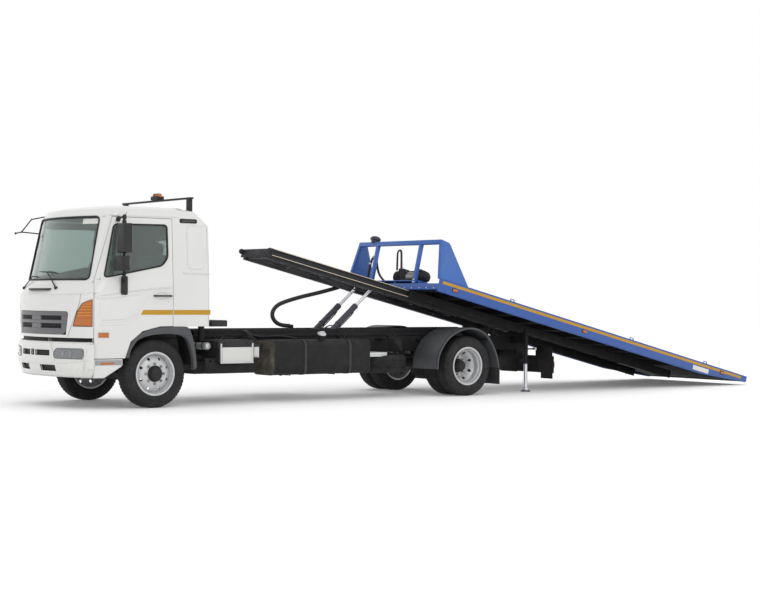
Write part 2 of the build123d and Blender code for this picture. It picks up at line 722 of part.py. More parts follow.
def seat(y, width):
    cushion = box(-260, 300, y - width / 2, y + width / 2, cab_low + 240, cab_low + 360)
    base = box(-200, 220, y - width / 2 + 60, y + width / 2 - 60, cab_low + 40, cab_low + 240)
    back = side_plate([(-300, cab_low + 340), (-160, cab_low + 340), (-300, cab_low + 980), (-400, cab_low + 980)],
                      y - width / 2, y + width / 2)
    rest = side_plate([(-315, cab_low + 970), (-300, cab_low + 970), (-330, cab_low + 1150), (-400, cab_low + 1150)],
                      y - 130, y + 130)
    return fuse([cushion, base, back, rest])


keep("seats", [seat(-560, 520), seat(460, 900)])
wheel_y = -560
steering_wheel = Pos(620, wheel_y, 1740) * Rot(0, 55 - 90, 0) * Torus(215, 15)
spokes = Pos(620, wheel_y, 1740) * Rot(0, 55 - 90, 0) * (Box(40, 420, 12) + Box(420, 40, 12))
column = bar((620, wheel_y, 1740), (900, wheel_y, 1340), 30)
keep("dashboard", fuse([dashboard, column, spokes, steering_wheel]))

# Beacon bar on the roof
bar_x = -600
post_left = box(bar_x - 28, bar_x + 28, 880, 960, 2690, 2880)
post_right = box(bar_x - 28, bar_x + 28, -960, -880, 2690, 2880)
roof_post = fuse([post_left, post_right, box(bar_x - 28, bar_x + 28, -990, 990, 2880, 2905)]) - outer_form
beacon_base = box(bar_x - 60, bar_x + 60, -70, 110, 2905, 2960)
keep("beacon_bar", fuse([roof_post, beacon_base] + [rod_z(bar_x, y, 28, 2960, 3000) for y in (-35, 20, 75)]))

# Mirrors
mirror_out = 1432
mirror_post_x = 600
mirror_in = cab_half + 112
mirror_post_y = mirror_in + 38
mirror_parts = [
    box(560, 690, mirror_in, mirror_out, 2100, 2490),
    box(590, 720, mirror_in - 30, mirror_out - 10, 1860, 2052),
    bar((mirror_post_x, mirror_post_y, 1800), (mirror_post_x, mirror_post_y, 2602), 15),
    bar((mirror_post_x, mirror_post_y, 2585), (mirror_post_x, 1100, 2560), 11),
    box(570, 630, 1075, 1110, 2520, 2580),
    bar((mirror_post_x, mirror_post_y, 1812), (520, 1136, 1700), 12),
    box(470, 570, 1120, 1150, 1540, 1790),
]
keep("mirror_left", fuse(mirror_parts))
stay_joint = (900, -1280, 2438)
stay_bend = (850, -1054, 2614)
stay_end = (930, -(mirror_out - 16), 2423)
stay = [
    bar((740, -800, 2650), stay_bend, 9),
    Pos(*stay_bend) * Sphere(11),
    bar(stay_bend, stay_joint, 9),
    Pos(*stay_joint) * Sphere(13),
    bar((780, -960, 2408), stay_joint, 9),
    bar(stay_joint, stay_end, 9),
    Pos(*stay_end) * Sphere(16),
]
keep("mirror_stay_right", fuse(stay) - outer_form)

# Wipers at the foot of the windscreen
wiper_parts = []
for y in (480, -420):
    wiper_parts.append(fuse([bar((1200, y, 1655), (1175, y - 180, 1800), 9), rod_x(y, 1655, 20, 1150, 1215)]))
keep("wipers", [part - outer_form for part in wiper_parts])

# Tilt frame: two box beams, each with a channel that opens outwards, joined by cross members
frame_beam = box(frame_rear_u, frame_front_u, frame_beam_in, frame_beam_out, frame_beam_low, frame_top_w)
channel_web = frame_beam_out + channel_wall
channel_outline = [(frame_beam_out, channel_low), (channel_out, channel_low),
                   (channel_out, channel_low + channel_wall), (channel_web, channel_low + channel_wall),
                   (channel_web, frame_top_w - channel_wall), (channel_out, frame_top_w - channel_wall),
                   (channel_out, frame_top_w), (frame_beam_out, frame_top_w)]
channel = front_plate(channel_outline, frame_rear_u, frame_front_u)
lug_start_u = lift_eye_u - 250
frame_cross_stations = [4530, 3950, 3300, lug_start_u + 30, 1500, 700, -250]
frame_cross = [box(u - 30, u + 30, -frame_beam_in, frame_beam_in, 100, frame_top_w - 12)
               for u in frame_cross_stations]
end_plate = box(frame_front_u, frame_front_u + 12, -channel_out, channel_out, channel_low - 20, frame_top_w)
pivot_lugs = []
for side in (1, -1):
    lug = box(-70, 70, side * 305, side * 345, 0, frame_beam_low + 10) + rod_y(0, 0, 55, side * 305, side * 345)
    pivot_lugs.append(lug - rod_y(0, 0, pivot_pin_radius + axle_running_gap, side * 300, side * 350))
eye_half = 35
lift_lugs = []
for side in (1, -1):
    for y in (lift_half - eye_half - 22, lift_half + eye_half + 8):
        lift_lugs.append(side_plate([(lug_start_u, 105), (lug_start_u, 215), (lift_eye_u + 70, 215),
                                     (lift_eye_u + 70, 120), (lift_eye_u + 30, 105)], side * y, side * (y + 14)))
tilt_frame_pieces = both(frame_beam + channel)
keep("tilt_frame", on_bed(fuse(tilt_frame_pieces + frame_cross + [end_plate] + pivot_lugs + lift_lugs)))

# Deck
rail_side = [(deck_front_u, deck_rail_low), (deck_front_u, deck_rail_top), (deck_tail_u, deck_rail_top),
             (deck_tail_u, deck_tail_low), (taper_start_u, deck_rail_low)]
rail_inner_side = [(deck_front_u, deck_rail_low + 8), (deck_front_u, deck_rail_top - 8),
                   (deck_tail_u + 8, deck_rail_top - 8), (deck_tail_u + 8, deck_tail_low + 8),
                   (taper_start_u, deck_rail_low + 8)]
rail_solid = side_plate(rail_side, deck_half - deck_rail_flange, deck_half)
rail_void = side_plate(rail_inner_side, deck_half - deck_rail_flange - 1, deck_half - deck_rail_wall)
deck_rail = rail_solid - rail_void
floor_half = deck_half - deck_rail_wall
floor_under = floor_top - floor_sheet
front_beam = box(deck_front_u - 50, deck_front_u, -floor_half, floor_half, 240, floor_top)
tail_half = deck_half - deck_rail_flange
tail_beam = box(deck_tail_u, deck_tail_u + 60, -tail_half, tail_half, deck_tail_low + 8, floor_top)
deck_floor = box(deck_tail_u + 60, load_floor_end, -floor_half, floor_half, floor_under, floor_top)
front_floor = box(load_floor_end, deck_front_u - 50, -floor_half, floor_half, floor_under, front_floor_top)
keep("deck_rails", [on_bed(rail) for rail in both(deck_rail)])
bearers = []
bearer_count = int((deck_front_u - 200 - (runner_tail_u + 100)) / bearer_pitch) + 1
for i in range(bearer_count):
    u = deck_front_u - 150 - i * bearer_pitch
    bearers.append(box(u - 25, u + 25, -floor_half, floor_half, bearer_low, floor_under))
keep("deck_floor", on_bed(fuse([front_beam, tail_beam, deck_floor, front_floor] + bearers)))
runner = box(runner_tail_u, deck_front_u - 60, runner_in, runner_in + runner_wall, runner_low, bearer_low)
pad_stations = [900, 300, -200]
pads = [box(u - 120, u + 120, channel_web + 4, runner_in, channel_low + channel_wall + slide_gap,
            frame_top_w - channel_wall - 6) for u in pad_stations]
keep("deck_runners", [on_bed(shape) for shape in both(fuse([runner] + pads))])

# Headboard
board_top = 1039
board_foot_y = deck_half - 5
board_lean_in = 137
lean = board_lean_in / (board_top - deck_rail_top)
plate_points = [(deck_front_u, deck_rail_top), (deck_front_u, board_top), (1848, 1030), (1388, deck_rail_top)]


def leaning_plate(points, thick):
    """A side plate that leans inwards as it rises."""
    angle = math.degrees(math.atan(lean))
    flat = side_plate([(u, w - deck_rail_top) for u, w in points], -thick, 0)
    return Pos(0, board_foot_y, deck_rail_top) * Rot(angle, 0, 0) * flat


board_plate = leaning_plate(plate_points, 8)
board_edge = leaning_plate([(deck_front_u - 50, deck_rail_top), (deck_front_u - 50, board_top),
                            (deck_front_u, board_top), (deck_front_u, deck_rail_top)], 50)
top_half = deck_half - 138
top_beam = box(deck_front_u - 50, deck_front_u, -top_half, top_half, 985, 1035)
uprights = [box(deck_front_u - 50, deck_front_u, side * 535, side * 585, floor_top, 985) for side in (1, -1)]
board_sides = (board_plate + board_edge) & box(deck_tail_u, deck_front_u, 0, deck_half, deck_rail_top, 1100)

# Winch behind the headboard
platform = fuse([box(1500, 1930, -560, 620, 385, 400)] +
                [box(1500, 1930, y, y + 12, front_floor_top, 385) for y in (-560, 0, 608)])
work_lamp = rod_z(deck_front_u - 25, -674, 62, 1035, 1085)
keep("headboard", on_bed(fuse(both(board_sides) + [top_beam, work_lamp, platform] + uprights)))
winch_y0 = -210
winch_y1 = 540
winch_u = 1720
winch_w = 500
cheek_low = [box(winch_u - 110, winch_u + 110, y, y + 20, 400, winch_w + 90) for y in (60, 330)]
winch_body = [rod_y(winch_u, winch_w, 85, 350, winch_y1), rod_y(winch_u, winch_w, 70, winch_y0, 60),
              box(winch_u - 110, winch_u + 110, 60, 350, 400, 412)]
drum_axle = rod_y(winch_u, winch_w, 25, 60, 350)
keep("winch", on_bed(fuse(cheek_low + winch_body + [drum_axle])))
drum = rod_y(winch_u, winch_w, 70, 90, 320)
for y in (86, 312):
    drum = drum + rod_y(winch_u, winch_w, 84, y, y + 12)
keep("winch_drum", on_bed(drum - rod_y(winch_u, winch_w, 25 + axle_running_gap, 80, 330)))


def ring(u):
    """A lashing ring standing on the side rail."""
    rise = 30
    legs = [rod_z(u + offset, deck_half - 14, 7, deck_rail_top, deck_rail_top + rise) for offset in (-38, 38)]
    corners = [Pos(u + offset, deck_half - 14, deck_rail_top + rise) * Sphere(7) for offset in (-38, 38)]
    return fuse(legs + corners + [rod_x(deck_half - 14, deck_rail_top + rise, 7, u - 38, u + 38)])


ring_stations = [420, -2400, -4330]
rings = []
for u in ring_stations:
    rings += [on_bed(ring(u)), on_bed(right(ring(u)))]
keep("lashing_rings", rings)
marker_stations = [(1640, 300), (-1260, 300), (-4800, 345)]
markers = []
for u, w in marker_stations:
    lamp = box(u - 45, u + 45, deck_half, deck_half + 14, w - 22, w + 22)
    markers += [on_bed(lamp), on_bed(right(lamp))]
keep("side_markers", markers)

# Lift cylinders: barrels on the lower pivot, rods that reach to the tilt frame
eye_x = pivot_x + lift_eye_u * math.cos(tilt) - lift_eye_w * math.sin(tilt)
eye_z = pivot_z + lift_eye_u * math.sin(tilt) + lift_eye_w * math.cos(tilt)
flat_eye_x = pivot_x + lift_eye_u
flat_eye_z = pivot_z + lift_eye_w
reach = math.hypot(eye_x - lift_base_x, eye_z - lift_base_z)
flat_reach = math.hypot(flat_eye_x - lift_base_x, flat_eye_z - lift_base_z)
lift_angle = math.degrees(math.atan2(eye_z - lift_base_z, eye_x - lift_base_x))
flat_angle = math.degrees(math.atan2(flat_eye_z - lift_base_z, flat_eye_x - lift_base_x))
barrel_length = reach - rod_visible


def on_lift(shape):
    """Turns a piece drawn along +X from the lower pivot into line with the cylinder."""
    return Pos(lift_base_x, 0, lift_base_z) * Rot(0, -lift_angle, 0) * shape


barrels = []
rods = []
for side in (1, -1):
    y = side * lift_half
    tube = rod_x(y, 0, barrel_radius, 40, barrel_length)
    knuckle_eye = rod_y(0, 0, 58, y - eye_half, y + eye_half)
    bore = rod_x(y, 0, rod_radius + 0.5, 90, barrel_length + 10)
    pin_hole = rod_y(0, 0, lift_pin_radius + axle_running_gap, y - 60, y + 60)
    barrels.append(on_lift((tube + knuckle_eye) - bore - pin_hole))
    ram = rod_x(y, 0, rod_radius, barrel_length - 300, reach - 20)
    ram_eye = rod_y(reach, 0, 42, y - eye_half + 5, y + eye_half - 5)
    rods.append(on_lift((ram + ram_eye) - rod_y(reach, 0, 22, y - 60, y + 60)))
keep("lift_barrels", barrels)
keep("lift_rods", rods)

# Hose loop from the chassis up to the tilt frame, on the right-hand beam
hose_points = [(hose_foot_x, hose_low_z), (-3030, hose_low_z), (-2893, 1165), (-2858, 1285), (-2950, 1400),
               (-3120, 1462), (-3380, 1528), (-3640, 1580), (-3890, 1632), (-4132, 1690)]
route = [Vector(x, hose_y, z) for x, z in hose_points]
hose_radii = []
for i in range(1, len(route) - 1):
    before = route[i] - route[i - 1]
    after = route[i + 1] - route[i]
    turn = math.radians(before.get_angle(after))
    hose_radii.append(0.45 * min(before.length, after.length) / math.tan(turn / 2))
hose_path = FilletPolyline(*route, radius=hose_radii)
hose_section = Plane(origin=route[0], z_dir=route[1] - route[0]) * Circle(hose_radius)
hose = sweep(hose_section, path=hose_path)
keep("hose_loop", hose)

# Write each sub-component
os.makedirs("parts", exist_ok=True)
for name, shapes in parts.items():
    moved = [Pos(origin_shift, 0, 0) * shape for shape in shapes]
    solids = []
    for shape in moved:
        solids += shape.solids()
    export_step(Compound(children=solids) if len(solids) > 1 else solids[0], "parts/" + name + ".step")

print("origin shift", round(origin_shift, 2), "tail", round(tail_x, 1))
print("tilt pivot", round(pivot_x + origin_shift, 2), pivot_z)
print("lift base", round(lift_base_x + origin_shift, 2), lift_base_z)
print("lift axis angle", round(lift_angle, 4), "flat", round(flat_angle, 4))
print("lift reach", round(reach, 2), "flat", round(flat_reach, 2))
print("hose radii", [round(r) for r in hose_radii], "length", round(hose_path.length))
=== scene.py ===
import json
import math

import bmesh
import bpy
from mathutils import Matrix, Vector


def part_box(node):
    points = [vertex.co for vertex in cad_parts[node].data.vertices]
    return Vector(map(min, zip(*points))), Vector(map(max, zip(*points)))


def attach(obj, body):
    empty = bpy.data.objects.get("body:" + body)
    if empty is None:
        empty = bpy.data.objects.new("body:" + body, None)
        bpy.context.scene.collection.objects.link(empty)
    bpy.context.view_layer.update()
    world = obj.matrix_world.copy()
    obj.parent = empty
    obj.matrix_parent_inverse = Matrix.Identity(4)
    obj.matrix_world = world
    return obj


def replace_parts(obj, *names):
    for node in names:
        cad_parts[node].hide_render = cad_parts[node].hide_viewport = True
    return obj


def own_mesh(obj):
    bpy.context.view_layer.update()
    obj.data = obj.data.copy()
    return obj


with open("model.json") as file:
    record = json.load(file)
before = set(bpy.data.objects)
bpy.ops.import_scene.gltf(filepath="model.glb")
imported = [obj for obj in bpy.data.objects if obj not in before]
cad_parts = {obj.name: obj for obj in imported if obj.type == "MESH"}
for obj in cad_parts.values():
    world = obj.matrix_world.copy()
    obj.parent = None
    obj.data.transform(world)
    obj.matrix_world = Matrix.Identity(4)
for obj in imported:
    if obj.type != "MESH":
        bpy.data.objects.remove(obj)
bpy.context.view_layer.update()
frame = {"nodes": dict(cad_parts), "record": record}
nodes = frame["nodes"]
scene = bpy.context.scene
bodyOf = {node: body for body, group in frame["record"]["behaviour"]["bodies"].items() for node in group}
print("frame loaded:", len(nodes), "nodes")

# Sizes that more than one piece uses, in metres from the front axle
truck = {"bumperFront": 1.3, "wheelbase": 5.53, "axleHeight": 0.468}
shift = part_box("bumper")[1].x - truck["bumperFront"]  # the front axle's place in the frame
bed = {"pivotX": -6.74, "pivotZ": 0.985, "tilt": math.radians(13.1)}
cab = {  # height, front on the centre line, half width
    "levels": [(0.43, 1.27, 1.12), (1.55, 1.27, 1.12), (1.72, 1.147, 1.114), (2.5, 0.967, 1.07),
               (2.615, 0.94, 1.06), (2.7, 0.88, 1.025), (2.748, 0.67, 0.88)],
    "bow": 2.2, "corner": 0.25,
}
bumperShape = {
    "levels": [(0.43, 1.24, 1.106), (0.56, 1.29, 1.126), (0.7, 1.3, 1.132), (0.86, 1.3, 1.132),
               (0.909, 1.275, 1.12)],
    "bow": 2.2, "corner": 0.13,
}
hands = ((1, "Left"), (-1, "Right"))
skinNodes = ("cab_shell", "door_left", "door_right")
xWay, yWay, zWay = Vector((1, 0, 0)), Vector((0, 1, 0)), Vector((0, 0, 1))


def place(x, y, z):
    return Vector((x + shift, y, z))


def onBed(u, y, w):
    c, s = math.cos(bed["tilt"]), math.sin(bed["tilt"])
    return Vector((bed["pivotX"] + u * c - w * s + shift, y, bed["pivotZ"] + u * s + w * c))


bedUp = onBed(0, 0, 1) - onBed(0, 0, 0)
bedAhead = onBed(1, 0, 0) - onBed(0, 0, 0)


def between(table, value):  # a row of a table whose first column rises, held at its ends
    for low, high in zip(table, table[1:]):
        if value <= high[0]:
            t = max(0.0, (value - low[0]) / (high[0] - low[0]))
            return [a + (b - a) * t for a, b in zip(low[1:], high[1:])]
    return table[-1][1:]


def planAt(shape, z):  # half width, the bow's centre, the corner's centre and their join at a height
    front, half = between(shape["levels"], z)
    bow, corner = shape["bow"], shape["corner"]
    centre = front - bow
    cornerX = centre + math.sqrt((bow - corner) ** 2 - (half - corner) ** 2)
    join = bow * math.sin(math.atan2(half - corner, cornerX - centre))
    return half, centre, cornerX, join


def frontSkin(y, z, shape=cab, proud=0.0):  # a point on the bowed front
    half, centre, cornerX, join = planAt(shape, z)
    side, bow, corner = abs(y), shape["bow"], shape["corner"]
    if side <= join:
        x = centre + math.sqrt(bow ** 2 - side ** 2)
    else:
        x = cornerX + math.sqrt(max(corner ** 2 - (side - half + corner) ** 2, 0.0))
    return place(x + proud, y, z)


def sideSkin(x, z, hand=1, proud=0.0):  # a point on the cab's side, the left one for hand 1
    y, cornerX = planAt(cab, z)[::2]
    corner = cab["corner"]
    if x > cornerX:
        y += math.sqrt(max(corner ** 2 - (x - cornerX) ** 2, 0.0)) - corner
    return place(x, hand * (y + proud), z)


# Camera, at the photograph's place
cameraPlace = {
    "place": (10.62, 19.91, 1.52), "yaw": 36.9, "pitch": -0.43, "roll": 0.44,
    "focalPixels": 1574, "centre": (363, 310), "picture": (760, 590), "sensor": 36, "clipEnd": 200,
}


def objectOf(name, data):
    made = bpy.data.objects.new(name, data)
    scene.collection.objects.link(made)
    return made


def makeCamera():
    yaw, pitch, roll = (math.radians(cameraPlace[k]) for k in ("yaw", "pitch", "roll"))
    ahead = Vector((-math.sin(yaw) * math.cos(pitch), -math.cos(yaw) * math.cos(pitch), math.sin(pitch)))
    right = Vector((-math.cos(yaw), math.sin(yaw), 0))
    up = right.cross(ahead)
    rolledRight = math.cos(roll) * right + math.sin(roll) * up
    rolledUp = math.cos(roll) * up - math.sin(roll) * right
    width, height = cameraPlace["picture"]
    data = bpy.data.cameras.new("camera")
    data.sensor_width = cameraPlace["sensor"]
    data.lens = cameraPlace["focalPixels"] / width * cameraPlace["sensor"]
    data.shift_x = (width / 2 - cameraPlace["centre"][0]) / width
    data.shift_y = (cameraPlace["centre"][1] - height / 2) / width
    data.clip_end = cameraPlace["clipEnd"]
    camera = objectOf("camera", data)
    turn = Matrix((rolledRight, rolledUp, -ahead)).transposed()
    camera.matrix_world = Matrix.Translation(place(*cameraPlace["place"])) @ turn.to_4x4()
    scene.camera = camera


makeCamera()


# Materials
def feed(tree, socket, value):  # links an output, or sets a constant
    if isinstance(value, bpy.types.NodeSocket):
        tree.links.new(value, socket)
    else:
        socket.default_value = (*value, 1) if socket.type == "RGBA" else value


def addNode(tree, kind, inputs, output, **settings):
    node = tree.nodes.new("ShaderNode" + kind)
    for name, value in settings.items():
        setattr(node, name, value)
    for name, value in inputs.items():
        feed(tree, node.inputs[name], value)
    return node.outputs[output]


def shaderOf(name, colour, roughness, metallic=0.0, **sockets):
    material = bpy.data.materials.new(name)
    material.use_nodes = True
    material.diffuse_color = (*colour, 1)
    tree = material.node_tree
    shader = tree.nodes["Principled BSDF"]
    values = {"Base Color": colour, "Roughness": roughness, "Metallic": metallic}
    values.update({socket.replace("_", " "): value for socket, value in sockets.items()})
    for socket, value in values.items():
        feed(tree, shader.inputs[socket], value)
    return material, tree, shader


def objectCoords(tree):
    return addNode(tree, "TexCoord", {}, "Object")


def noiseOf(tree, scale, detail=4.0, roughness=0.55, stretch=None):
    source = objectCoords(tree)
    if stretch:
        source = addNode(tree, "Mapping", {"Vector": source, "Scale": stretch}, "Vector")
    inputs = {"Vector": source, "Scale": scale, "Detail": detail, "Roughness": roughness}
    return addNode(tree, "TexNoise", inputs, "Fac")


def rangeOf(tree, source, low, high, start=0.0, end=1.0):
    inputs = {"Value": source, "From Min": low, "From Max": high, "To Min": start, "To Max": end}
    return addNode(tree, "MapRange", inputs, "Result")


def patches(tree, noise, *limits):  # a noise of scale, detail and roughness, spread over a range
    return rangeOf(tree, noiseOf(tree, *noise), *limits)


def mathOf(tree, operation, a, b):
    return addNode(tree, "Math", {0: a, 1: b}, "Value", operation=operation, use_clamp=True)


def mixOf(tree, fac, a, b):
    return addNode(tree, "Mix", {0: fac, 6: a, 7: b}, 2, data_type="RGBA")


def wavesOf(tree, direction, scale):
    inputs = {"Vector": objectCoords(tree), "Scale": scale}
    return addNode(tree, "TexWave", inputs, "Fac", bands_direction=direction)


def scaled(colour, factor, lift=0.0):
    return tuple(min(1.0, c * factor + lift) for c in colour)


def surfaceOf(tree, shader, colour, roughness, height=None, strength=0.0, distance=0.0):
    feed(tree, shader.inputs["Base Color"], colour)
    feed(tree, shader.inputs["Roughness"], roughness)
    if height:
        inputs = {"Height": height, "Strength": strength, "Distance": distance}
        feed(tree, shader.inputs["Normal"], addNode(tree, "Bump", inputs, "Normal"))


# A sprayed finish: road dust low down, faint clouding and a fine peel in the lacquer
def paint(name, colour, dirt, roughness=0.28, dirtTop=0.9, dirtMost=0.35, coat=0.5):
    material, tree, shader = shaderOf(name, colour, roughness, Coat_Weight=coat, Coat_Roughness=0.08)
    cloud = patches(tree, (1.1, 2), 0.3, 0.7)
    base = mixOf(tree, cloud, scaled(colour, 0.975), scaled(colour, 1.015, 0.002))
    height = addNode(tree, "SeparateXYZ", {"Vector": objectCoords(tree)}, "Z")
    low = rangeOf(tree, height, dirtTop, 0.15)
    spread = patches(tree, (9, 8, 0.7), 0.35, 0.75, 0.25, 1.0)
    grime = mathOf(tree, "MULTIPLY", mathOf(tree, "MULTIPLY", low, spread), dirtMost)
    rough = patches(tree, (3.5, 3), 0.3, 0.75, roughness * 0.9, roughness * 1.15)
    surfaceOf(tree, shader, mixOf(tree, grime, base, dirt), mathOf(tree, "ADD", rough, grime),
              noiseOf(tree, 40, 1), 0.004, 0.0005)
    return material


# Working steel: dust over the paint, with chips down to rusty metal
def framePaint(name, colour, dust, dustMost=0.5, chips=0.06, roughness=0.5):
    material, tree, shader = shaderOf(name, colour, roughness, Specular_IOR_Level=0.22)
    base = mixOf(tree, patches(tree, (5.5, 9, 0.72), 0.35, 0.72, 0.0, dustMost), colour, dust)
    chip = patches(tree, (31, 6, 0.75), 0.70 - chips, 0.72 - chips, 0.0, 0.55)
    rough = patches(tree, (8, 6), 0.25, 0.8, roughness - 0.1, roughness + 0.25)
    chipped = mixOf(tree, chip, base, (0.10, 0.06, 0.04))
    surfaceOf(tree, shader, chipped, rough, noiseOf(tree, 160, 5), 0.06, 0.001)
    return material


def plastic(name, colour, roughness=0.5, grain=0.15, fade=0.25):
    material, tree, shader = shaderOf(name, colour, roughness, Specular_IOR_Level=0.3)
    pale = tuple(c + (0.18 - c) * 0.35 if c < 0.18 else c * 0.9 for c in colour)
    faded = patches(tree, (6, 7, 0.65), 0.3, 0.8, 0.0, fade)
    rough = patches(tree, (22, 4), 0.3, 0.7, roughness - 0.07, roughness + 0.1)
    surfaceOf(tree, shader, mixOf(tree, faded, colour, pale), rough, noiseOf(tree, 700, 3), grain, 0.0006)
    return material


def metal(name, colour, roughness=0.3, brushed=None, stain=(0.25, 0.22, 0.19), stainMost=0.3, metallic=1.0):
    material, tree, shader = shaderOf(name, colour, roughness, metallic)
    spots = patches(tree, (12, 8, 0.7), 0.45, 0.8, 0.0, stainMost)
    streak = noiseOf(tree, 60, 4, 0.6, brushed)
    rough = rangeOf(tree, streak, 0.3, 0.7, roughness * 0.7, roughness * 1.4)
    surfaceOf(tree, shader, mixOf(tree, spots, colour, stain), rough, streak, 0.05, 0.0006)
    return material


def tyreRubber():
    look = {"rubber": (0.013, 0.013, 0.014), "dust": (0.06, 0.056, 0.052)}
    material, tree, shader = shaderOf("tyreRubber", look["rubber"], 0.75, Specular_IOR_Level=0.25)
    dusty = patches(tree, (7, 9, 0.72), 0.38, 0.75, 0.03, 0.45)
    rough = patches(tree, (25, 5), 0.3, 0.7, 0.6, 0.85)
    surfaceOf(tree, shader, mixOf(tree, dusty, look["rubber"], look["dust"]), rough,
              noiseOf(tree, 300, 4), 0.25, 0.0008)
    return material


def glassOf(name, tint, clear=0.88, roughness=0.02):
    material, tree, shader = shaderOf(name, tint, roughness, IOR=1.45, Transmission_Weight=clear)
    surfaceOf(tree, shader, tint, patches(tree, (3, 6), 0.3, 0.8, roughness, roughness + 0.04))
    return material


def lensOf(name, colour, clear=0.45):
    material, tree, shader = shaderOf(name, colour, 0.12, Transmission_Weight=clear, IOR=1.49,
                                      Coat_Weight=0.6, Coat_Roughness=0.03)
    wave = wavesOf(tree, "Z", 60)
    lines = rangeOf(tree, wave, 0, 1, 0, 0.5)
    surfaceOf(tree, shader, mixOf(tree, lines, colour, scaled(colour, 0.5)), 0.12, wave, 0.35, 0.002)
    return material


def stripeTape():
    look = {"tape": (0.49, 0.255, 0.002), "worn": (0.40, 0.21, 0.004), "cell": 130}
    material, tree, shader = shaderOf("stripeTape", look["tape"], 0.35)
    inputs = {"Vector": objectCoords(tree), "Scale": look["cell"]}
    cells = addNode(tree, "TexVoronoi", inputs, "Distance")
    worn = patches(tree, (6, 8, 0.7), 0.4, 0.75, 0.0, 0.7)
    base = mixOf(tree, worn, look["tape"], look["worn"])
    fine = mixOf(tree, rangeOf(tree, cells, 0.1, 0.5, 0.0, 0.25), base, look["worn"])
    surfaceOf(tree, shader, fine, 0.35, cells, 0.12, 0.0005)
    return material


def clothOf(name, colour):
    material, tree, shader = shaderOf(name, colour, 0.85, Sheen_Weight=0.25)
    weave = mathOf(tree, "MULTIPLY", wavesOf(tree, "X", 90), wavesOf(tree, "Z", 90))
    surfaceOf(tree, shader, mixOf(tree, weave, colour, scaled(colour, 1.6)), 0.85, weave, 0.4, 0.001)
    return material


dust = (0.10, 0.095, 0.09)
finish = {
    "white": paint("whitePaint", (0.66, 0.66, 0.645), (0.42, 0.38, 0.32), 0.24, 0.8, 0.16),
    "blue": paint("bluePaint", (0.021, 0.084, 0.325), (0.09, 0.11, 0.16), 0.42, 0.5, 0.2, 0.03),
    # a lighter copy of the deck blue for the headboard and its leaning side plates: painted light, as they
    # lean up towards the light
    "boardBlue": paint("litBoardPaint", (0.034, 0.118, 0.41), (0.09, 0.12, 0.2), 0.42, 0.5, 0.2, 0.03),
    "black": framePaint("framePaint", (0.009, 0.009, 0.010), dust, 0.10, 0.02),
    "bedBlack": framePaint("bedPaint", (0.030, 0.031, 0.035), dust, 0.16, 0.04),
    "cast": framePaint("castIron", (0.020, 0.020, 0.020), dust, 0.25, 0.05, 0.6),
    "floor": framePaint("deckFloorPaint", (0.045, 0.047, 0.05), dust, 0.55, 0.14, 0.55),
    "wheel": metal("wheelPaint", (0.55, 0.56, 0.57), 0.38, None, (0.22, 0.19, 0.16), 0.4, 0.35),
    "bare": metal("bareSteel", (0.42, 0.41, 0.40), 0.35, (1, 1, 20), (0.16, 0.09, 0.05), 0.5),
    "worn": metal("wornEdge", (0.56, 0.49, 0.37), 0.6, None, (0.30, 0.20, 0.12), 0.4, 0.1),
    "chrome": metal("chromePlate", (0.78, 0.79, 0.80), 0.10, None, (0.4, 0.38, 0.35), 0.12),
    "rod": metal("rodChrome", (0.74, 0.73, 0.79), 0.34, None, (0.5, 0.48, 0.5), 0.1, 0.75),
    "tankDust": framePaint("tankDust", (0.018, 0.018, 0.018), (0.17, 0.15, 0.115), 0.95, 0.02, 0.6),
    "lampPan": metal("lampPan", (0.15, 0.155, 0.165), 0.3, None, (0.3, 0.3, 0.3), 0.1, 0.7),
    "plastic": plastic("blackPlastic", (0.016, 0.016, 0.017), 0.5),
    "grey": plastic("greyPlastic", (0.085, 0.088, 0.092), 0.42),
    "pale": plastic("palePlastic", (0.62, 0.62, 0.60), 0.42, 0.1, 0.3),
    "grille": plastic("grillePlastic", (0.130, 0.126, 0.134), 0.38, 0.08),
    "stripGrey": plastic("stripPlastic", (0.30, 0.31, 0.32), 0.4, 0.08),
    "flare": plastic("flarePlastic", (0.066, 0.069, 0.075), 0.5, 0.15),
    "trim": plastic("cabTrim", (0.10, 0.10, 0.098), 0.7, 0.1),
    "mirror": metal("mirrorGlass", (0.85, 0.86, 0.87), 0.04, None, (0.6, 0.6, 0.6), 0.05),
    "seal": plastic("rubberSeal", (0.010, 0.010, 0.011), 0.6, 0.1),
    "hose": plastic("hoseRubber", (0.026, 0.024, 0.029), 0.55, 0.25),
    "barrel": framePaint("barrelPaint", (0.062, 0.064, 0.078), dust, 0.12, 0.02, 0.42),
    "tyre": tyreRubber(),
    "glass": glassOf("tintedGlass", (0.50, 0.60, 0.57)),
    "clear": glassOf("clearLens", (0.93, 0.95, 0.96), 0.95, 0.01),
    "amber": lensOf("amberLens", (0.64, 0.17, 0.012), 0.25),
    # a brighter copy of the amber lens, for the corner lamps' ribs: painted highlight
    "brightAmber": lensOf("highlitAmberLens", (1.0, 0.42, 0.012), 0.15),
    "deepAmber": lensOf("deepAmberLens", (0.66, 0.17, 0.002), 0.25),
    "red": lensOf("redLens", (0.50, 0.015, 0.012)),
    "tape": stripeTape(),
    "cloth": clothOf("seatCloth", (0.06, 0.065, 0.07)),
    "alloy": metal("dullAlloy", (0.60, 0.61, 0.62), 0.42, None, (0.3, 0.28, 0.25), 0.3, 0.5),
    "strap": framePaint("strapPaint", (0.035, 0.036, 0.038), dust, 0.2, 0.05, 0.45),
    "rusty": framePaint("hotSteel", (0.11, 0.085, 0.07), (0.13, 0.08, 0.05), 0.5, 0.12, 0.7),
    "domeGrey": plastic("domePlastic", (0.035, 0.04, 0.055), 0.3, 0.05),
    "plate": paint("platePaint", (0.72, 0.72, 0.70), (0.4, 0.36, 0.3), 0.35, 1.2, 0.25, 0.2),
    "rope": metal("wireRope", (0.32, 0.31, 0.30), 0.4, (30, 30, 30), (0.1, 0.07, 0.05), 0.6),
}
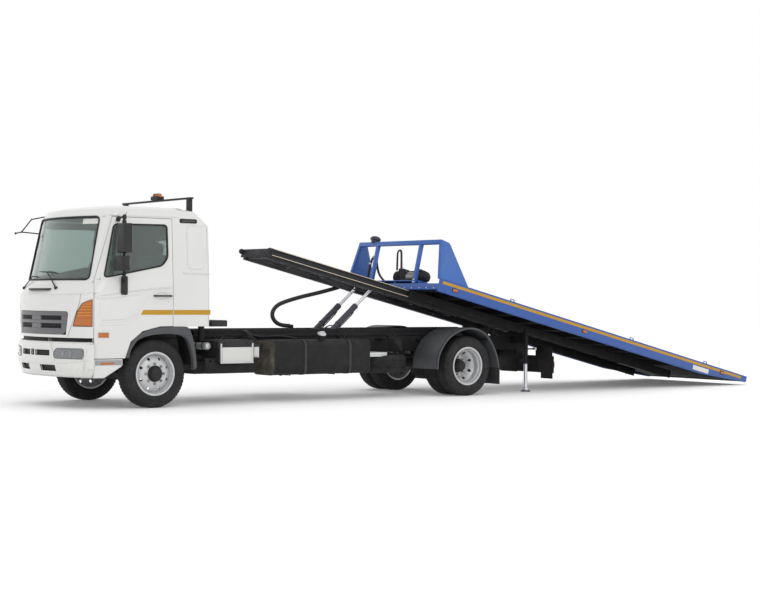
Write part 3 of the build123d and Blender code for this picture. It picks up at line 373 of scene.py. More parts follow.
slotFinishes = {  # the finishes that each material slot mostly takes
    "cab_paint": ("white",), "deck_paint": ("blue", "boardBlue", "floor"), "hose_rubber": ("hose",),
    "black_plastic": ("plastic", "seal", "grey", "flare", "grille", "domeGrey"), "tyre": ("tyre",),
    "white_plastic": ("pale", "stripGrey", "plate"), "wheel_paint": ("wheel",), "red_lamp": ("red",),
    "amber_lamp": ("amber", "brightAmber", "deepAmber", "tape"), "seat_fabric": ("cloth",),
    "clear_lamp": ("clear", "lampPan", "chrome"), "bare_steel": ("bare", "rope", "alloy", "mirror"),
    "cast_parts": ("cast", "rusty"), "frame_paint": ("black", "bedBlack", "strap", "tankDust", "worn"),
}
slotFor = {name: slot for slot, names in slotFinishes.items() for name in names}
print("materials made:", len(finish))


# Mesh making
def settle(piece):  # bakes the piece's modifiers into its mesh
    graph = bpy.context.evaluated_depsgraph_get()
    mesh = bpy.data.meshes.new_from_object(piece.evaluated_get(graph), depsgraph=graph)
    piece.modifiers.clear()
    old = piece.data
    piece.data = mesh
    bpy.data.meshes.remove(old)


def softEdges(piece, width, steps=2, angle=30.0, weighted=False):
    bevel = piece.modifiers.new("bevel", "BEVEL")
    bevel.width = width
    bevel.segments = steps
    bevel.limit_method = "WEIGHT" if weighted else "ANGLE"
    bevel.angle_limit = math.radians(angle)
    bevel.harden_normals = True
    bevel.use_clamp_overlap = False
    settle(piece)


def finishPiece(piece, body, slot, edge=0.0, steps=2, smooth=35.0):
    piece.data.shade_smooth()
    if edge:
        softEdges(piece, edge, steps)
    piece.data.set_sharp_from_angle(angle=math.radians(smooth))
    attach(piece, body)
    return piece


def meshOf(name, bm):
    mesh = bpy.data.meshes.new(name)
    bmesh.ops.recalc_face_normals(bm, faces=bm.faces)
    bm.to_mesh(mesh)
    bm.free()
    return mesh


def meshPiece(name, bm, material, body, edge=0.0, steps=2, smooth=35.0, slot=None):
    made = objectOf(name, meshOf(name, bm))
    materials = (material,) if isinstance(material, str) else material
    for each in materials:
        made.data.materials.append(finish[each])
    return finishPiece(made, body, slot or slotFor[materials[0]], edge, steps, smooth)


def bridge(bm, rings, closed=False, capped=True):  # joins a row of rings, with caps on its open ends
    for one, two in zip(rings, rings[1:] + rings[:1] if closed else rings[1:]):
        for k in range(len(one)):
            m = (k + 1) % len(one)
            bm.faces.new((one[k], one[m], two[m], two[k]))
    if capped and not closed:
        bm.faces.new(rings[0][::-1])
        bm.faces.new(rings[-1])


def addBlock(bm, corners, mat=0):  # eight corners, ordered by x, then y, then z
    verts = [bm.verts.new(corner) for corner in corners]
    for a, b, c, d in ((0, 1, 3, 2), (4, 6, 7, 5), (0, 4, 5, 1), (2, 3, 7, 6), (0, 2, 6, 4), (1, 5, 7, 3)):
        bm.faces.new([verts[i] for i in (a, b, c, d)]).material_index = mat


def addBox(bm, x0, x1, y0, y1, z0, z1, mat=0):
    addBlock(bm, [place(x, y, z) for x in (x0, x1) for y in (y0, y1) for z in (z0, z1)], mat)


def addBedBox(bm, u0, u1, y0, y1, w0, w1):
    addBlock(bm, [onBed(u, y, w) for u in (u0, u1) for y in (y0, y1) for w in (w0, w1)])


def axesOf(direction, near=None):
    ahead = direction.normalized()
    helper = near if near is not None else (zWay if abs(ahead.z) < 0.9 else xWay)
    side = ahead.cross(helper).normalized()
    return side, side.cross(ahead).normalized(), ahead


def circleOf(side, upward, radius, sides, flat=1.0):
    turns = [2 * math.pi * k / sides for k in range(sides)]
    return [side * (radius * math.cos(a)) + upward * (radius * flat * math.sin(a)) for a in turns]


def addTube(bm, points, radius, sides=12, flat=1.0, closed=False, near=None):  # flat squeezes it one way
    rings = []
    last = len(points) - 1
    up = near
    for i, point in enumerate(points):
        if closed:
            ahead = points[(i + 1) % len(points)] - points[i - 1]
        else:
            ahead = points[min(i + 1, last)] - points[max(i - 1, 0)]
        side, upward, ahead = axesOf(ahead, up)
        if near is None:
            up = upward
        r = radius[i] if isinstance(radius, (list, tuple)) else radius
        rings.append([bm.verts.new(point + turn) for turn in circleOf(side, upward, r, sides, flat)])
    bridge(bm, rings, closed)


def addRod(bm, start, end, radius, sides=20):
    addTube(bm, [start, end], radius, sides)


# A turned form: the profile is a closed list of radius and distance along the axis
def addTurned(bm, profile, centre, axis, sides=48):
    side, upward, ahead = axesOf(axis)
    rings = []
    for r, along in profile:
        turns = circleOf(side, upward, r, sides) if r > 1e-6 else [Vector((0, 0, 0))]
        rings.append([bm.verts.new(centre + ahead * along + turn) for turn in turns])
    for one, two in zip(rings, rings[1:] + rings[:1]):
        if len(one) == 1 and len(two) == 1:
            continue
        for k in range(sides):
            m = k + 1
            corners = [one[k % len(one)], one[m % len(one)], two[m % len(two)], two[k % len(two)]]
            bm.faces.new(list(dict.fromkeys(corners)))


def bandOf(inner, outer, half, middle=0.0):  # the profile of a square-edged ring
    low, high = middle - half, middle + half
    return [(inner, low), (outer, low), (outer, high), (inner, high)]


def addPlate(bm, outline, depth):  # a flat plate from an outline, thickened along a direction
    bridge(bm, [[bm.verts.new(p + Vector(way)) for p in outline] for way in ((0, 0, 0), depth)])


def roundedLoop(corners, radius, steps=6):  # a flat outline with its corners rounded
    points = []
    count = len(corners)
    for i in range(count):
        a, b, c = (Vector(corners[j % count]) for j in (i - 1, i, i + 1))
        r = radius[i] if isinstance(radius, (list, tuple)) else radius
        cut = min(r, (a - b).length * 0.45, (c - b).length * 0.45)
        start, end = b + (a - b).normalized() * cut, b + (c - b).normalized() * cut
        for s in range(steps + 1):
            t = s / steps
            points.append(start * (1 - t) ** 2 + b * (2 * t * (1 - t)) + end * t ** 2)
    return points


def boxLoop(a0, a1, b0, b1, radius, steps=6):  # a rounded rectangle
    return roundedLoop([(a0, b0), (a0, b1), (a1, b1), (a1, b0)], radius, steps)


def ovalOf(a, b, wide, high, count):
    turns = [2 * math.pi * k / count for k in range(count)]
    return [Vector((a + wide * math.cos(t), b + high * math.sin(t))) for t in turns]


def fineLoop(points, step, closed=True):  # more points along long straight sides
    points = [Vector(p) for p in points]
    fine = []
    for i, a in enumerate(points if closed else points[:-1]):
        b = points[(i + 1) % len(points)]
        parts = max(1, int((b - a).length / step))
        fine += [a + (b - a) * (k / parts) for k in range(parts)]
    return fine if closed else fine + [points[-1]]


def middleOf(outline):
    return sum((Vector(p) for p in outline), Vector((0, 0))) / len(outline)


# Geometry Nodes: one unit at each point of a small mesh, turned by its attribute and made real
def repeatTree(name, unit, material):
    tree = bpy.data.node_groups.new(name, "GeometryNodeTree")
    tree.interface.new_socket("Geometry", in_out="INPUT", socket_type="NodeSocketGeometry")
    size = tree.interface.new_socket("Size", in_out="INPUT", socket_type="NodeSocketFloat")
    size.default_value = 1.0
    tree.interface.new_socket("Geometry", in_out="OUTPUT", socket_type="NodeSocketGeometry")
    make, link = tree.nodes.new, tree.links.new
    start, end = make("NodeGroupInput"), make("NodeGroupOutput")
    source, onPoints = make("GeometryNodeObjectInfo"), make("GeometryNodeInstanceOnPoints")
    real, coat = make("GeometryNodeRealizeInstances"), make("GeometryNodeSetMaterial")
    turn = make("GeometryNodeInputNamedAttribute")
    turn.data_type = "FLOAT_VECTOR"
    turn.inputs["Name"].default_value = "turn"
    source.inputs["Object"].default_value = unit
    coat.inputs["Material"].default_value = finish[material]
    link(start.outputs["Geometry"], onPoints.inputs["Points"])
    link(source.outputs["Geometry"], onPoints.inputs["Instance"])
    link(turn.outputs["Attribute"], onPoints.inputs["Rotation"])
    link(start.outputs["Size"], onPoints.inputs["Scale"])
    link(onPoints.outputs["Instances"], real.inputs["Geometry"])
    link(real.outputs["Geometry"], coat.inputs["Geometry"])
    link(coat.outputs["Geometry"], end.inputs["Geometry"])
    return tree, size.identifier


def repeatUnit(name, unitMesh, spots, material, body, size=1.0):  # spots are places with the way each faces
    unit = objectOf(name + "Unit", unitMesh)
    mesh = bpy.data.meshes.new(name)
    mesh.from_pydata([tuple(spot) for spot, facing in spots], [], [])
    turns = mesh.attributes.new("turn", "FLOAT_VECTOR", "POINT")
    for i, (spot, facing) in enumerate(spots):
        turns.data[i].vector = Vector(facing).to_track_quat("Z", "Y").to_euler()
    made = objectOf(name, mesh)
    tree, sizeSocket = repeatTree(name + "Tree", unit, material)
    modifier = made.modifiers.new("repeat", "NODES")
    modifier.node_group = tree
    modifier[sizeSocket] = size
    settle(made)
    bpy.data.objects.remove(unit)
    return finishPiece(made, body, slotFor[material])


def unitOf(name, build):
    bm = bmesh.new()
    build(bm)
    return meshOf(name, bm)


def upright(bm, heights, radii, sides):  # a tube along Z, for units
    addTube(bm, [Vector((0, 0, z)) for z in heights], radii, sides)


boltLook = {"across": 0.018, "tall": 0.009}


def boltHead(bm):  # a hexagon head on its washer, standing along Z
    across, tall = boltLook["across"], boltLook["tall"]
    upright(bm, (-0.001, 0.0025), across * 0.72, 14)
    upright(bm, (0.0025, tall * 0.85, tall), [across * 0.56, across * 0.56, across * 0.48], 6)


boltMesh = unitOf("boltUnit", boltHead)


# A CAD node's copy with merged faces, softened edges and its own finish
def dress(node, material, edge=0.003, steps=2, angle=30.0, weigh=None):
    mesh = nodes[node].data.copy()
    mesh.materials.clear()
    mesh.materials.append(finish[material])
    bm = bmesh.new()
    bm.from_mesh(mesh)
    bmesh.ops.remove_doubles(bm, verts=bm.verts, dist=2e-5)
    bmesh.ops.dissolve_limit(bm, angle_limit=math.radians(1), verts=bm.verts, edges=bm.edges)
    if weigh:
        layer = bm.edges.layers.float.new("bevel_weight_edge")
        for line in bm.edges:
            if len(line.link_faces) == 2 and line.calc_face_angle(0.0) > math.radians(angle):
                line[layer] = weigh((line.verts[0].co + line.verts[1].co) / 2)
    for face in bm.faces:
        face.material_index = 0
    bm.to_mesh(mesh)
    bm.free()
    made = objectOf(node + "Dressed", mesh)
    mesh.shade_smooth()
    if edge:
        softEdges(made, edge, steps, angle, weigh is not None)
    made.data.set_sharp_from_angle(angle=math.radians(35))
    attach(made, bodyOf[node])
    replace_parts(made, node)
    return made


# Hose loop at the right-hand beam
hoseLook = {
    "y": -0.393, "radius": 0.032, "stiffness": "stiff", "lay": "loose", "anchor": (0, 0, 1.045), "keep": 0.05,
    "route": [(-3.19, 1.083), (-3.03, 1.083), (-2.893, 1.165), (-2.858, 1.285), (-2.95, 1.4), (-3.12, 1.462),
              (-3.38, 1.528), (-3.64, 1.58), (-3.89, 1.632), (-4.132, 1.69)],
}


def splinePath(points, parts=8):  # a smooth run that leans on the points between its ends
    path = [points[0]]
    for i in range(1, len(points) - 1):
        start = points[0] if i == 1 else (points[i - 1] + points[i]) / 2
        end = points[-1] if i == len(points) - 2 else (points[i] + points[i + 1]) / 2
        for k in range(1, parts + 1):
            t = k / parts
            path.append(start * (1 - t) ** 2 + points[i] * (2 * t * (1 - t)) + end * t ** 2)
    return path


def makeHose():
    path = splinePath([place(x, hoseLook["y"], z) for x, z in hoseLook["route"]])
    bm = bmesh.new()
    addTube(bm, path, hoseLook["radius"], 20)
    hose = meshPiece("hose", bm, "hose", "chassis")
    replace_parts(hose, "hose_loop")
    length = sum((b - a).length for a, b in zip(path, path[1:]))
    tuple(path[0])
    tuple(hoseLook["anchor"])
    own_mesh(hose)


makeHose()
print("hose made")

# The rigid nodes that keep their CAD shape
dressing = {
    "cab_glass": ("glass", 0.0), "door_glass_left": ("glass", 0.0), "door_glass_right": ("glass", 0.0),
    "cab_steps": ("white", 0.004), "dashboard": ("grey", 0.012), "beacon_bar": ("plastic", 0.003),
    "mirror_left": ("plastic", 0.016), "mirror_stay_right": ("plastic", 0.0),
    "side_markers": ("amber", 0.004),
    "rear_lamps": ("red", 0.005), "deck_rails": ("blue", 0.002), "deck_floor": ("floor", 0.0015),
    "deck_runners": ("black", 0.002), "headboard": ("boardBlue", 0.002), "winch": ("plastic", 0.004),
    "winch_drum": ("bare", 0.002), "lashing_rings": ("blue", 0.0), "tilt_frame": ("bedBlack", 0.002),
    "ladder_frame": ("black", 0.002), "sub_frame": ("black", 0.002), "bed_pivots": ("black", 0.002),
    "engine_block": ("cast", 0.02), "propeller_shaft": ("black", 0.0), "fuel_tank": ("black", 0.003),
    "battery_box": ("plastic", 0.008), "tool_box": ("black", 0.006), "silencer": ("cast", 0.006),
    "tail_frame": ("black", 0.002), "intake_box": ("plastic", 0.012),
    "front_axle": ("cast", 0.006), "rear_axle": ("cast", 0.005), "leaf_springs": ("black", 0.0015),
    "knuckle_left": ("cast", 0.005), "knuckle_right": ("cast", 0.005), "lift_barrels": ("barrel", 0.002),
    "lift_rods": ("rod", 0.001), "leg_left": ("rod", 0.001), "leg_right": ("rod", 0.001),
    "spare_rim": ("wheel", 0.0015), "rim_front_left": ("wheel", 0.0015), "rim_front_right": ("wheel", 0.0015),
    "rims_rear_left": ("wheel", 0.0015), "rims_rear_right": ("wheel", 0.0015),
}
dressed = {node: dress(node, *look) for node, look in dressing.items()}
print("plain nodes dressed")


beamStart = 1.9295  # how far along the bed its front beam starts


def paintFloor(floor):  # blue front beam, dark underside
    for each in ("blue", "black"):
        floor.data.materials.append(finish[each])
    for face in floor.data.polygons:
        along = (face.center - onBed(0, 0, 0)).dot(bedAhead)
        face.material_index = 1 if along > beamStart else 0 if face.normal.dot(bedUp) > 0.5 else 2


paintFloor(dressed["deck_floor"])

cabCreases = {"width": 0.02, "small": 0.14, "heights": [1.55, 1.72, 2.5, 2.615, 2.7, 2.748]}
bumperCreases = {"width": 0.025, "small": 0.16, "heights": [0.56, 0.7, 0.86, 0.909, 0.43]}


def dressSkin(node, creases):  # wide soft edges along the creases, small ones elsewhere
    def weigh(point):
        near = min(abs(point.z - height) for height in creases["heights"])
        return 1.0 if near < 0.002 else creases["small"]
    dress(node, "white", creases["width"], 3, 9.0, weigh)


for node in skinNodes:
    dressSkin(node, cabCreases)
dressSkin("bumper", bumperCreases)
print("cab shell, doors and bumper dressed")

# Tyres: a turned section whose tread is cut by grooves and shoulder notches
tyreLook = {
    "radius": 0.468, "grooves": (-0.05, -0.017, 0.017, 0.05), "grooveHalf": 0.005,
    "grooveDeep": 0.011, "notchDeep": 0.007, "pitches": 56, "wander": 0.004,
    # radius and offset from the middle, from the bead out to the tread's edge
    "wall": [(0.3005, 0.107), (0.3005, 0.1152), (0.314, 0.124), (0.333, 0.1315), (0.341, 0.1322),
             (0.343, 0.1342), (0.348, 0.1342), (0.35, 0.1328), (0.378, 0.1352), (0.398, 0.1342),
             (0.4, 0.1357), (0.406, 0.135), (0.408, 0.1332), (0.428, 0.1265), (0.441, 0.119), (0.4515, 0.112),
             (0.46, 0.1035), (0.4655, 0.094)],
}


def tyreSection():  # closed list of radius, offset and kind: 0 plain, 1 groove floor, 2 shoulder
    wall = tyreLook["wall"]
    shoulder = [(tyreLook["radius"], 0.086, 2), (tyreLook["radius"], 0.062, 2)]
    left = [(r, -o, 2 if r > 0.45 else 0) for r, o in wall] + [(r, -o, k) for r, o, k in shoulder]
    tread = []
    for centre in tyreLook["grooves"]:
        half, floorRadius = tyreLook["grooveHalf"], tyreLook["radius"] - tyreLook["grooveDeep"]
        tread += [(tyreLook["radius"], centre - half, 0), (floorRadius, centre - half * 0.6, 1),
                  (floorRadius, centre + half * 0.6, 1), (tyreLook["radius"], centre + half, 0)]
    rightSide = [(r, -o, k) for r, o, k in reversed(left)]
    inside = [(0.29, 0.1), (0.29, -0.1)]
    return left + tread + rightSide + [(r, o, 0) for r, o in inside]


def addTyre(bm, centre, axis):
    side, upward, ahead = axesOf(axis)
    section = tyreSection()
    columns = []
    pitch = 2 * math.pi / tyreLook["pitches"]
    for i in range(tyreLook["pitches"]):
        columns += [(i + share) * pitch for share in (0.0, 0.30, 0.62, 0.66, 0.96)]
    rings = []
    for j, angle in enumerate(columns):
        notch = j % 5 in (3, 4)
        swing = tyreLook["wander"] * (1 if j % 5 in (0, 4) else -1)
        ring = []
        for r, offset, kind in section:
            if kind == 2 and notch:
                r -= tyreLook["notchDeep"]
            if abs(offset) < 0.06:
                offset += swing
            around = side * (r * math.cos(angle)) + upward * (r * math.sin(angle))
            ring.append(bm.verts.new(centre + ahead * offset + around))
        rings.append(ring)
    bridge(bm, rings, closed=True)


wheelLook = {
    "front": 0.95, "rearInner": 0.726, "rearOuter": 1.036, "spare": (-4.189, 0.53, 0.518),
    "frontDisc": 0.096, "rearDisc": 0.155, "discThick": 0.014, "nutCircle": 0.1375, "nuts": 8,
    # radius and distance out from the wheel's middle
    "frontCap": [(0.0, 0.1625), (0.052, 0.1625), (0.058, 0.1595), (0.062, 0.159), (0.074, 0.159),
                 (0.0855, 0.139), (0.0862, 0.104), (0.112, 0.1035), (0.114, 0.0985), (0.114, 0.0965),
                 (0.086, 0.0965), (0.0, 0.1)],
    "rearCap": [(0.0, 0.139), (0.045, 0.139), (0.052, 0.136), (0.068, 0.1345), (0.0855, 0.112),
                (0.0865, 0.02), (0.112, 0.0185), (0.114, 0.016), (0.114, 0.0142), (0.086, 0.0142),
                (0.0, 0.1)],
    "flange": [(0.3015, 0.1072), (0.3035, 0.1095), (0.3035, 0.1125), (0.300, 0.1152), (0.295, 0.1152),
               (0.292, 0.1142), (0.292, 0.1072)],
}


def makeTyres():
    z = truck["axleHeight"]
    front, inner, outer = (wheelLook[k] for k in ("front", "rearInner", "rearOuter"))
    for hand, label in hands:
        side = label.lower()
        for name, body, node, x, across in (
                ("frontTyre", "wheel_front_", "tyre_front_", 0, (front,)),
                ("rearTyres", "wheels_rear_", "tyres_rear_", -truck["wheelbase"], (inner, outer))):
            bm = bmesh.new()
            for y in across:
                addTyre(bm, place(x, hand * y, z), yWay)
            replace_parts(meshPiece(name + label, bm, "tyre", body + side), node + side)
    bm = bmesh.new()
    addTyre(bm, place(*wheelLook["spare"]), zWay)
    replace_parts(meshPiece("spareTyre", bm, "tyre", "chassis"), "spare_tyre")


def wheelNut(bm):  # a nut with its stud end, standing along Z
    upright(bm, (0.0, 0.004, 0.004, 0.022, 0.025), [0.021, 0.0205, 0.0165, 0.0165, 0.0145], 12)
    upright(bm, (0.02, 0.036, 0.038), [0.0095, 0.0095, 0.008], 10)


def makeWheelParts():
    z = truck["axleHeight"]
    nut = unitOf("nutUnit", wheelNut)
    around = ovalOf(0, 0, wheelLook["nutCircle"], wheelLook["nutCircle"], wheelLook["nuts"])
    front, inner, outer = (wheelLook[k] for k in ("front", "rearInner", "rearOuter"))
    rearFace = outer - wheelLook["rearDisc"] + wheelLook["discThick"]
    for hand, label in hands:
        out = Vector((0, hand, 0))
        for word, group, x, face, hub, rim in (
                ("front", "wheel_front_", 0, front + wheelLook["frontDisc"], front, front),
                ("rear", "wheels_rear_", -truck["wheelbase"], rearFace, (outer + inner) / 2, outer)):
            body = group + label.lower()
            spots = [(place(x + p.x, hand * face, z + p.y), out) for p in around]
            repeatUnit(word + "Nuts" + label, nut, spots, "bare", body)
            bm = bmesh.new()
            addTurned(bm, wheelLook[word + "Cap"], place(x, hand * hub, z), out, 64)
            meshPiece(word + "Hub" + label, bm, "cast", body)
            bm = bmesh.new()
            addTurned(bm, wheelLook["flange"], place(x, hand * rim, z), out, 96)
            meshPiece(word + "RimEdge" + label, bm, "wheel", body)


makeTyres()
makeWheelParts()
print("wheels made")


# Pieces that lie on the cab's skin
def outlineTube(name, points, radius, material, body, flat=1.0, closed=True):
    bm = bmesh.new()
    addTube(bm, points, radius, 8, flat, closed)
    return meshPiece(name, bm, material, body)


# A pressed shape: an outline on a skin, raised in a soft step, with a flat top
def pressedShape(name, outline, onSkin, rise, run, body):
    middle = middleOf(outline)
    steps = ((0.0, -0.002), (0.0, 0.0), (run * 0.35, rise * 0.3), (run * 0.7, rise * 0.85), (run, rise))
    bm = bmesh.new()
    rings = []
    for inset, high in steps:
        inner = [p + (middle - p).normalized() * inset for p in outline]
        rings.append([bm.verts.new(onSkin(p.x, p.y, high)) for p in inner])
    bridge(bm, rings)
    return meshPiece(name, bm, "white", body, smooth=50)


screenLook = {
    "outline": [(-0.922, 1.742), (-0.88, 2.59), (0.88, 2.59), (0.922, 1.742)], "corner": 0.07,
    "side": [(0.8, 1.768), (0.64, 2.488), (-0.16, 2.498), (-0.165, 2.05), (-0.075, 1.94)],
    "sideCorner": 0.055,
    "rear": [(-0.42, 1.9), (-0.42, 2.35), (0.42, 2.35), (0.42, 1.9)], "rearX": -0.852,
    "seal": 0.017, "doorSeal": 0.013, "flat": 0.8,
}


def sealLoop(outline, corner):
    return fineLoop(roundedLoop(screenLook[outline], screenLook[corner], 8), 0.05)


def makeSeals():
    flat = screenLook["flat"]
    screen = [frontSkin(p.x, p.y, proud=-0.004) for p in sealLoop("outline", "corner")]
    rear = [place(screenLook["rearX"], p.x, p.y) for p in sealLoop("rear", "corner")]
    outlineTube("screenSeal", screen, screenLook["seal"], "seal", "cab", flat)
    outlineTube("rearWindowSeal", rear, screenLook["seal"], "seal", "cab", flat)
    for hand, label in hands:
        side = [sideSkin(p.x, p.y, hand, -0.004) for p in sealLoop("side", "sideCorner")]
        outlineTube("doorSeal" + label, side, screenLook["doorSeal"], "seal", "door_" + label.lower(), flat)


doorLook = {
    "handleX": (0.046, -0.203), "handleZ": 1.53, "cup": (-0.065, 0.083, 0.052), "key": (-0.166, 1.45),
    "bead": [(0.893, 1.497), (0.637, 1.53), (0.388, 1.563), (0.15, 1.592), (0.118, 1.583), (0.112, 1.56),
             (0.16, 1.488), (0.225, 1.37), (0.272, 1.285), (0.33, 1.222), (0.41, 1.18), (0.535, 1.157),
             (0.70, 1.146), (0.86, 1.14)],
    "panel": [(0.872, 1.478), (0.262, 1.545), (0.262, 1.39), (0.31, 1.3), (0.41, 1.225), (0.535, 1.203),
              (0.872, 1.195)],
    "stripeZ": (1.273, 1.339), "stripeX": (0.26, -0.233), "rearStripeX": (-0.25, -0.833),
    "tray": (0.9, 0.738, 0.962, 1.042), "marker": (0.893, 0.745, 0.969, 1.035),
    "lock": [(0.0, 0.008), (0.009, 0.008), (0.011, 0.006), (0.013, 0.0), (0.013, -0.004), (0.0, -0.004)],
}


def skinStrip(bm, x0, x1, z0, z1, hand, proud, thick):  # a thin strip that follows the cab's side
    steps = 12
    rows = []
    for i in range(steps + 1):
        x = x0 + (x1 - x0) * i / steps
        rows.append([bm.verts.new(sideSkin(x, z, hand, high))
                     for z, high in ((z0, proud - thick), (z0, proud), (z1, proud), (z1, proud - thick))])
    bridge(bm, rows)


def stripPiece(name, ends, hand, proud, thick, material, body, edge=0.0):
    bm = bmesh.new()
    skinStrip(bm, *ends, hand, proud, thick)
    meshPiece(name, bm, material, body, edge)


def makeDoorParts():
    x0, x1 = doorLook["handleX"]
    z = doorLook["handleZ"]
    grip = [(x0 + 0.01, -0.004), (x0, 0.016), (x0 - 0.02, 0.03), ((x0 + x1) / 2, 0.034), (x1 + 0.02, 0.03),
            (x1, 0.016), (x1 - 0.01, -0.004)]
    cupX, cupWide, cupHigh = doorLook["cup"]
    for hand, label in hands:
        body = "door_" + label.lower()

        def skin(x, z, high):
            return sideSkin(x, z, hand, high)
        bm = bmesh.new()  # pressed bead along the lower door
        path = fineLoop(doorLook["bead"], 0.03, closed=False)
        addTube(bm, [skin(p.x, p.y, -0.001) for p in path], 0.017, 10, 0.5, near=yWay)
        meshPiece("doorBead" + label, bm, "white", body)
        panel = fineLoop(roundedLoop(doorLook["panel"], [0.03, 0.04, 0.05, 0.08, 0.08, 0.05, 0.03], 5), 0.06)
        pressedShape("doorPanel" + label, panel, skin, 0.009, 0.012, body)
        bm = bmesh.new()  # pull handle on two feet, over a shallow cup, with its lock
        thickness = [0.016, 0.017, 0.0165, 0.0155, 0.0165, 0.017, 0.016]
        addTube(bm, [skin(x, z, out) for x, out in grip], thickness, 14, 0.7, near=zWay)
        meshPiece("doorHandle" + label, bm, "plastic", body)
        cup = [skin(p.x, p.y, -0.0005) for p in ovalOf(cupX, z, cupWide, cupHigh, 40)]
        outlineTube("handleCup" + label, cup, 0.006, "white", body, 0.5)
        bm = bmesh.new()
        addTurned(bm, doorLook["lock"], skin(*doorLook["key"], 0.0), Vector((0, hand, 0)), 24)
        meshPiece("doorLock" + label, bm, "chrome", body, slot="bare_steel")
        for name, stretch, rides in (("doorStripe", "stripeX", body), ("rearStripe", "rearStripeX", "cab")):
            ends = (*doorLook[stretch], *doorLook["stripeZ"])
            stripPiece(name + label, ends, hand, 0.0012, 0.002, "tape", rides)
        # side marker lamp in its pale tray, ahead of the door's lower corner
        stripPiece("markerTray" + label, doorLook["tray"], hand, 0.005, 0.008, "pale", body, 0.0015)
        stripPiece("doorMarker" + label, doorLook["marker"], hand, 0.014, 0.012, "amber", body, 0.004)


makeSeals()
makeDoorParts()
print("door parts made")


# Panels laid on a skin: an outline of two skin values, rising along its profile, filled towards its middle
def skinPanel(name, outline, onSkin, profile, thick, material, body, fill=5):
    middle = middleOf(outline)
    foot, top = profile[0][1] - thick, profile[-1][1]
    bm = bmesh.new()
    rings = []
    for inset, high in [(0.0, foot)] + profile:
        inner = [Vector(p) + (middle - Vector(p)).normalized() * inset for p in outline]
        rings.append([bm.verts.new(onSkin(p.x, p.y, high)) for p in inner])
    for k in range(1, fill):
        share = 1 - k / fill
        rings.append([bm.verts.new(onSkin(*(middle + (p - middle) * share), top)) for p in inner])
    bridge(bm, rings, capped=False)
    for ring, high in ((rings[0], foot), (rings[-1], top)):
        tip = bm.verts.new(onSkin(*middle, high))
        for k, vert in enumerate(ring):
            bm.faces.new((vert, ring[(k + 1) % len(ring)], tip))
    return meshPiece(name, bm, material, body, smooth=50)


def alongOf(y, z, shape=cab):  # distance round the front from the middle, for a place across the truck
    half, join = planAt(shape, z)[::3]
    turn = math.asin(join / shape["bow"])
    if abs(y) <= join:
        return math.copysign(shape["bow"] * math.asin(abs(y) / shape["bow"]), y)
    spread = math.asin(min(1.0, (abs(y) - half + shape["corner"]) / shape["corner"]))
    return math.copysign(shape["bow"] * turn + shape["corner"] * (spread - turn), y)


def wrapSkin(along, z, shape=cab, proud=0.0):  # a point at that distance round the front and the corner
    half, centre, cornerX, join = planAt(shape, z)
    bow, corner = shape["bow"], shape["corner"]
    turn = math.asin(join / bow)
    s, hand = abs(along), math.copysign(1, along)
    reach = bow * turn + corner * (math.pi / 2 - turn)
    if s <= bow * turn:
        x, y = centre + (bow + proud) * math.cos(s / bow), (bow + proud) * math.sin(s / bow)
    elif s <= reach:
        a = turn + (s - bow * turn) / corner
        x, y = cornerX + (corner + proud) * math.cos(a), half - corner + (corner + proud) * math.sin(a)
    else:
        x, y = cornerX - (s - reach), half + proud
    return place(x, hand * y, z)


def wrapStrip(bm, levels, shape, proud, thick, steps):  # levels of height, start and end across the truck
    section = [(*level, proud) for level in levels] + [(*level, proud - thick) for level in levels[::-1]]
    rows = []
    for i in range(steps + 1):
        row = []
        for z, y0, y1, high in section:
            s0, s1 = alongOf(y0, z, shape), alongOf(y1, z, shape)
            row.append(bm.verts.new(wrapSkin(s0 + (s1 - s0) * i / steps, z, shape, high)))
        rows.append(row)
    bridge(bm, rows)


def frontPanel(name, outline, shape, profile, thick, material, fill=5):  # the outline is across and height
    def skin(s, z, high):
        return wrapSkin(s, z, shape, high)
    loop = [(alongOf(p[0], p[1], shape), p[1]) for p in outline]
    return skinPanel(name, loop, skin, profile, thick, material, "cab", fill)


def frontLine(name, points, radius, material, shape=cab, proud=0.0, flat=1.0, closed=False):
    path = fineLoop(points, 0.04, closed)
    spots = [wrapSkin(alongOf(p.x, p.y, shape), p.y, shape, proud) for p in path]
    return outlineTube(name, spots, radius, material, "cab", flat, closed)


def sideLine(name, points, radius, material, hand, proud=0.0, flat=1.0, body="cab"):
    spots = [sideSkin(p.x, p.y, hand, proud) for p in fineLoop(points, 0.04, closed=False)]
    return outlineTube(name, spots, radius, material, body, flat, closed=False)


# Dark trim on the inner faces of the shell and doors
trimLook = {"inset": 0.034, "middle": (0.2, 0.0, 1.9), "top": 2.748,
            "rear": [(2.5, -0.85), (2.615, -0.729), (2.7, -0.64), (2.748, -0.5)]}


def insetOf(point):
    x, y, z = point.x - shift, point.y, point.z
    half = planAt(cab, z)[0]
    rear = between(trimLook["rear"], z)[0]
    front = frontSkin(y, z).x - shift if abs(y) < half else x
    return min(half - abs(y), front - x, x - rear, trimLook["top"] - z)


def trimInside(node):
    mesh = bpy.data.objects[node + "Dressed"].data
    mesh.materials.append(finish["trim"])
    middle = place(*trimLook["middle"])
    for face in mesh.polygons:
        if insetOf(face.center) > trimLook["inset"] and face.normal.dot(middle - face.center) > 0:
            face.material_index = 1


for node in skinNodes:
    trimInside(node)

# Grille: a thick frame with two rows of openings, dark slats behind them
grilleLook = {
    "levels": [(1.0, 0.6), (1.02, 0.665), (1.06, 0.695), (1.27, 0.728), (1.3, 0.715), (1.313, 0.69)],
    "bars": [(1.0, 1.085), (1.15, 1.195), (1.255, 1.313)], "openings": [(1.085, 1.15), (1.195, 1.255)],
    "middle": 0.14, "end": 0.6, "proud": -0.004, "thick": 0.03, "slats": 3, "posts": 9,
}


def grilleWidth(z):
    return between(grilleLook["levels"], z)[0]


